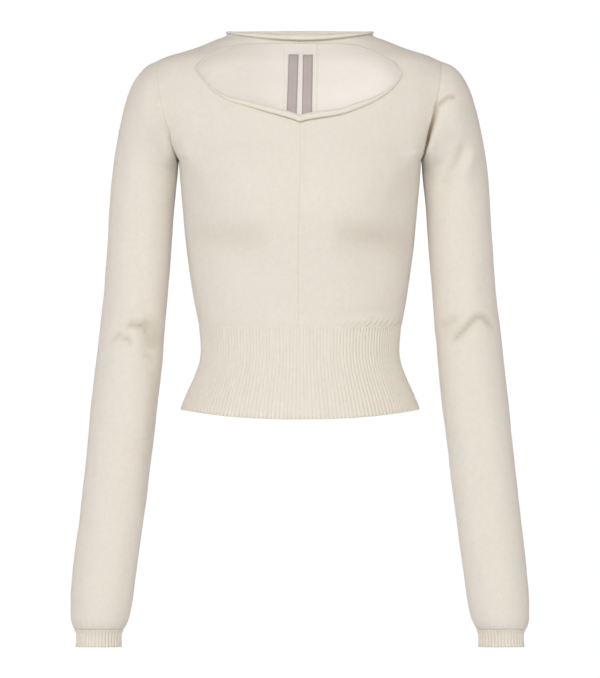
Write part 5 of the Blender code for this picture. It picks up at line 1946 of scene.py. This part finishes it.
class SWEATER_OT_stage(bpy.types.Operator):
    """Make the plain floor and backdrop, the soft lights and the camera"""

    bl_idname = "sweater.stage"
    bl_label = "Stage"

    def execute(self, context):
        scene = context.scene
        stage = scene.sweater_stage
        make_floor(stage.floor_height)
        make_backdrop()
        for lamp in LAMPS:
            area_light(lamp, getattr(stage, lamp.setting) * lamp.share)
        world = bpy.data.worlds.new("studio")
        world.use_nodes = True
        sky = world.node_tree.nodes["Background"]
        sky.inputs["Color"].default_value = WARM + (1.0,)
        sky.inputs["Strength"].default_value = stage.ambient
        scene.world = world
        lens = bpy.data.cameras.new("camera")
        lens.sensor_width = SENSOR_WIDTH
        lens.lens = SENSOR_WIDTH * stage.camera_distance / stage.view_height
        lens.clip_end = 100.0
        camera = bpy.data.objects.new("camera", lens)
        scene.collection.objects.link(camera)
        camera.location = (0.0, -stage.camera_distance, VIEW_CENTRE_Z)
        camera.rotation_euler = (math.pi / 2, 0.0, 0.0)
        scene.camera = camera
        scene.view_settings.view_transform = "Standard"
        scene.view_settings.look = "None"
        return {"FINISHED"}


def colour_setting(name, description, default):
    return bpy.props.FloatVectorProperty(
        name=name, description=description, default=default, min=0.0, max=1.0, subtype="COLOR"
    )


class SweaterCloth(bpy.types.PropertyGroup):
    wall: bpy.props.FloatProperty(
        name="Cloth Thickness",
        description="Thickness of the knit",
        default=WALL * MM,
        min=0.001,
        max=0.003,
        unit="LENGTH",
        precision=4,
    )
    wale: bpy.props.FloatProperty(
        name="Wale",
        description="Width of one column of stitches",
        default=0.0018,
        min=0.0008,
        max=0.01,
        unit="LENGTH",
        precision=4,
    )
    course: bpy.props.FloatProperty(
        name="Course",
        description="Height of one row of stitches",
        default=0.0014,
        min=0.0008,
        max=0.01,
        unit="LENGTH",
        precision=4,
    )
    # A painted glow: the inner side's emission, which stands in for light coming through the cloth
    inside_painted_glow: bpy.props.FloatProperty(
        name="Light Through",
        description="Light that comes through the cloth from behind",
        default=0.18,
        min=0.0,
        max=1.0,
        subtype="FACTOR",
    )
    knit_colour: colour_setting("Knit", "Colour of the knit's outside", (0.80, 0.735, 0.655))
    # The inner side is lighter than the outside, partly as painted light for the light coming through the
    # cloth
    inside_colour_with_painted_light: colour_setting("Inside", "Colour of the knit's inner side", (0.86, 0.82, 0.775))
    # The colour of the shade painted into seams, folds, creases and rib valleys
    painted_shade_colour: colour_setting("Hollows", "Colour of the knit deep in seams and folds", (0.34, 0.25, 0.13))
    rib_colour: colour_setting("Rib", "Colour of the ribs", (0.80, 0.738, 0.654))
    tape_colour: colour_setting("Tape", "Colour of the woven tapes", (0.56, 0.50, 0.495))
    thread_colour: colour_setting("Thread", "Colour of the strip's stitches", (0.55, 0.47, 0.39))
    tape_thread_colour: colour_setting("Tape Thread", "Colour of the tapes' stitches", (0.13, 0.10, 0.09))


class SweaterStage(bpy.types.PropertyGroup):
    floor_height: bpy.props.FloatProperty(
        name="Floor Height",
        description="Height of the floor",
        default=CAD_BOX[0][2] - FLOOR_DROP,
        unit="LENGTH",
    )
    key_power: bpy.props.FloatProperty(
        name="Key",
        description="Power of the key light",
        default=60.0,
        unit="POWER",
    )
    front_power: bpy.props.FloatProperty(
        name="Front",
        description="Power of the light beside the camera",
        default=120.0,
        unit="POWER",
    )
    side_power: bpy.props.FloatProperty(
        name="Sides",
        description="Power that the side lights' powers are worked out from",
        default=4.0,
        unit="POWER",
    )
    ambient: bpy.props.FloatProperty(
        name="Ambient",
        description="Strength of the light from all round",
        default=0.375,
        min=0.0,
        max=2.0,
        subtype="FACTOR",
    )
    camera_distance: bpy.props.FloatProperty(
        name="Camera Distance",
        description="Distance from the camera to the garment",
        default=16.0,
        unit="LENGTH",
    )
    view_height: bpy.props.FloatProperty(
        name="View Height",
        description="Height of the camera's view at the garment",
        default=0.8475,
        unit="LENGTH",
    )


OPERATORS = [
    SWEATER_OT_back,
    SWEATER_OT_fronts,
    SWEATER_OT_sleeves,
    SWEATER_OT_rib_hem,
    SWEATER_OT_cuffs,
    SWEATER_OT_neck_roll,
    SWEATER_OT_cutout_rolls,
    SWEATER_OT_back_strip,
    SWEATER_OT_tapes,
    SWEATER_OT_stage,
]


class SWEATER_PT_panel(bpy.types.Panel):
    """The sweater's sizes, colours and pieces"""

    bl_idname = "SWEATER_PT_panel"
    bl_label = "Cutout Knit Sweater"
    bl_space_type = "VIEW_3D"
    bl_region_type = "UI"
    bl_category = "Sweater"

    def draw(self, context):
        for settings in (context.scene.sweater_cloth, context.scene.sweater_stage):
            box = self.layout.box()
            for name in settings.__annotations__:
                box.prop(settings, name)
        for operator in OPERATORS:
            self.layout.operator(operator.bl_idname)


CLASSES = [SweaterCloth, SweaterStage, *OPERATORS, SWEATER_PT_panel]


def register():
    for each in CLASSES:
        bpy.utils.register_class(each)
    bpy.types.Scene.sweater_cloth = bpy.props.PointerProperty(type=SweaterCloth)
    bpy.types.Scene.sweater_stage = bpy.props.PointerProperty(type=SweaterStage)


def unregister():
    del bpy.types.Scene.sweater_stage
    del bpy.types.Scene.sweater_cloth
    for each in reversed(CLASSES):
        bpy.utils.unregister_class(each)


def main():
    register()
    bpy.ops.sweater.back()
    bpy.ops.sweater.fronts()
    bpy.ops.sweater.sleeves()
    bpy.ops.sweater.rib_hem()
    bpy.ops.sweater.cuffs()
    bpy.ops.sweater.neck_roll()
    bpy.ops.sweater.cutout_rolls()
    bpy.ops.sweater.back_strip()
    bpy.ops.sweater.tapes()
    bpy.ops.sweater.stage()


if __name__ == "__main__":
    main()
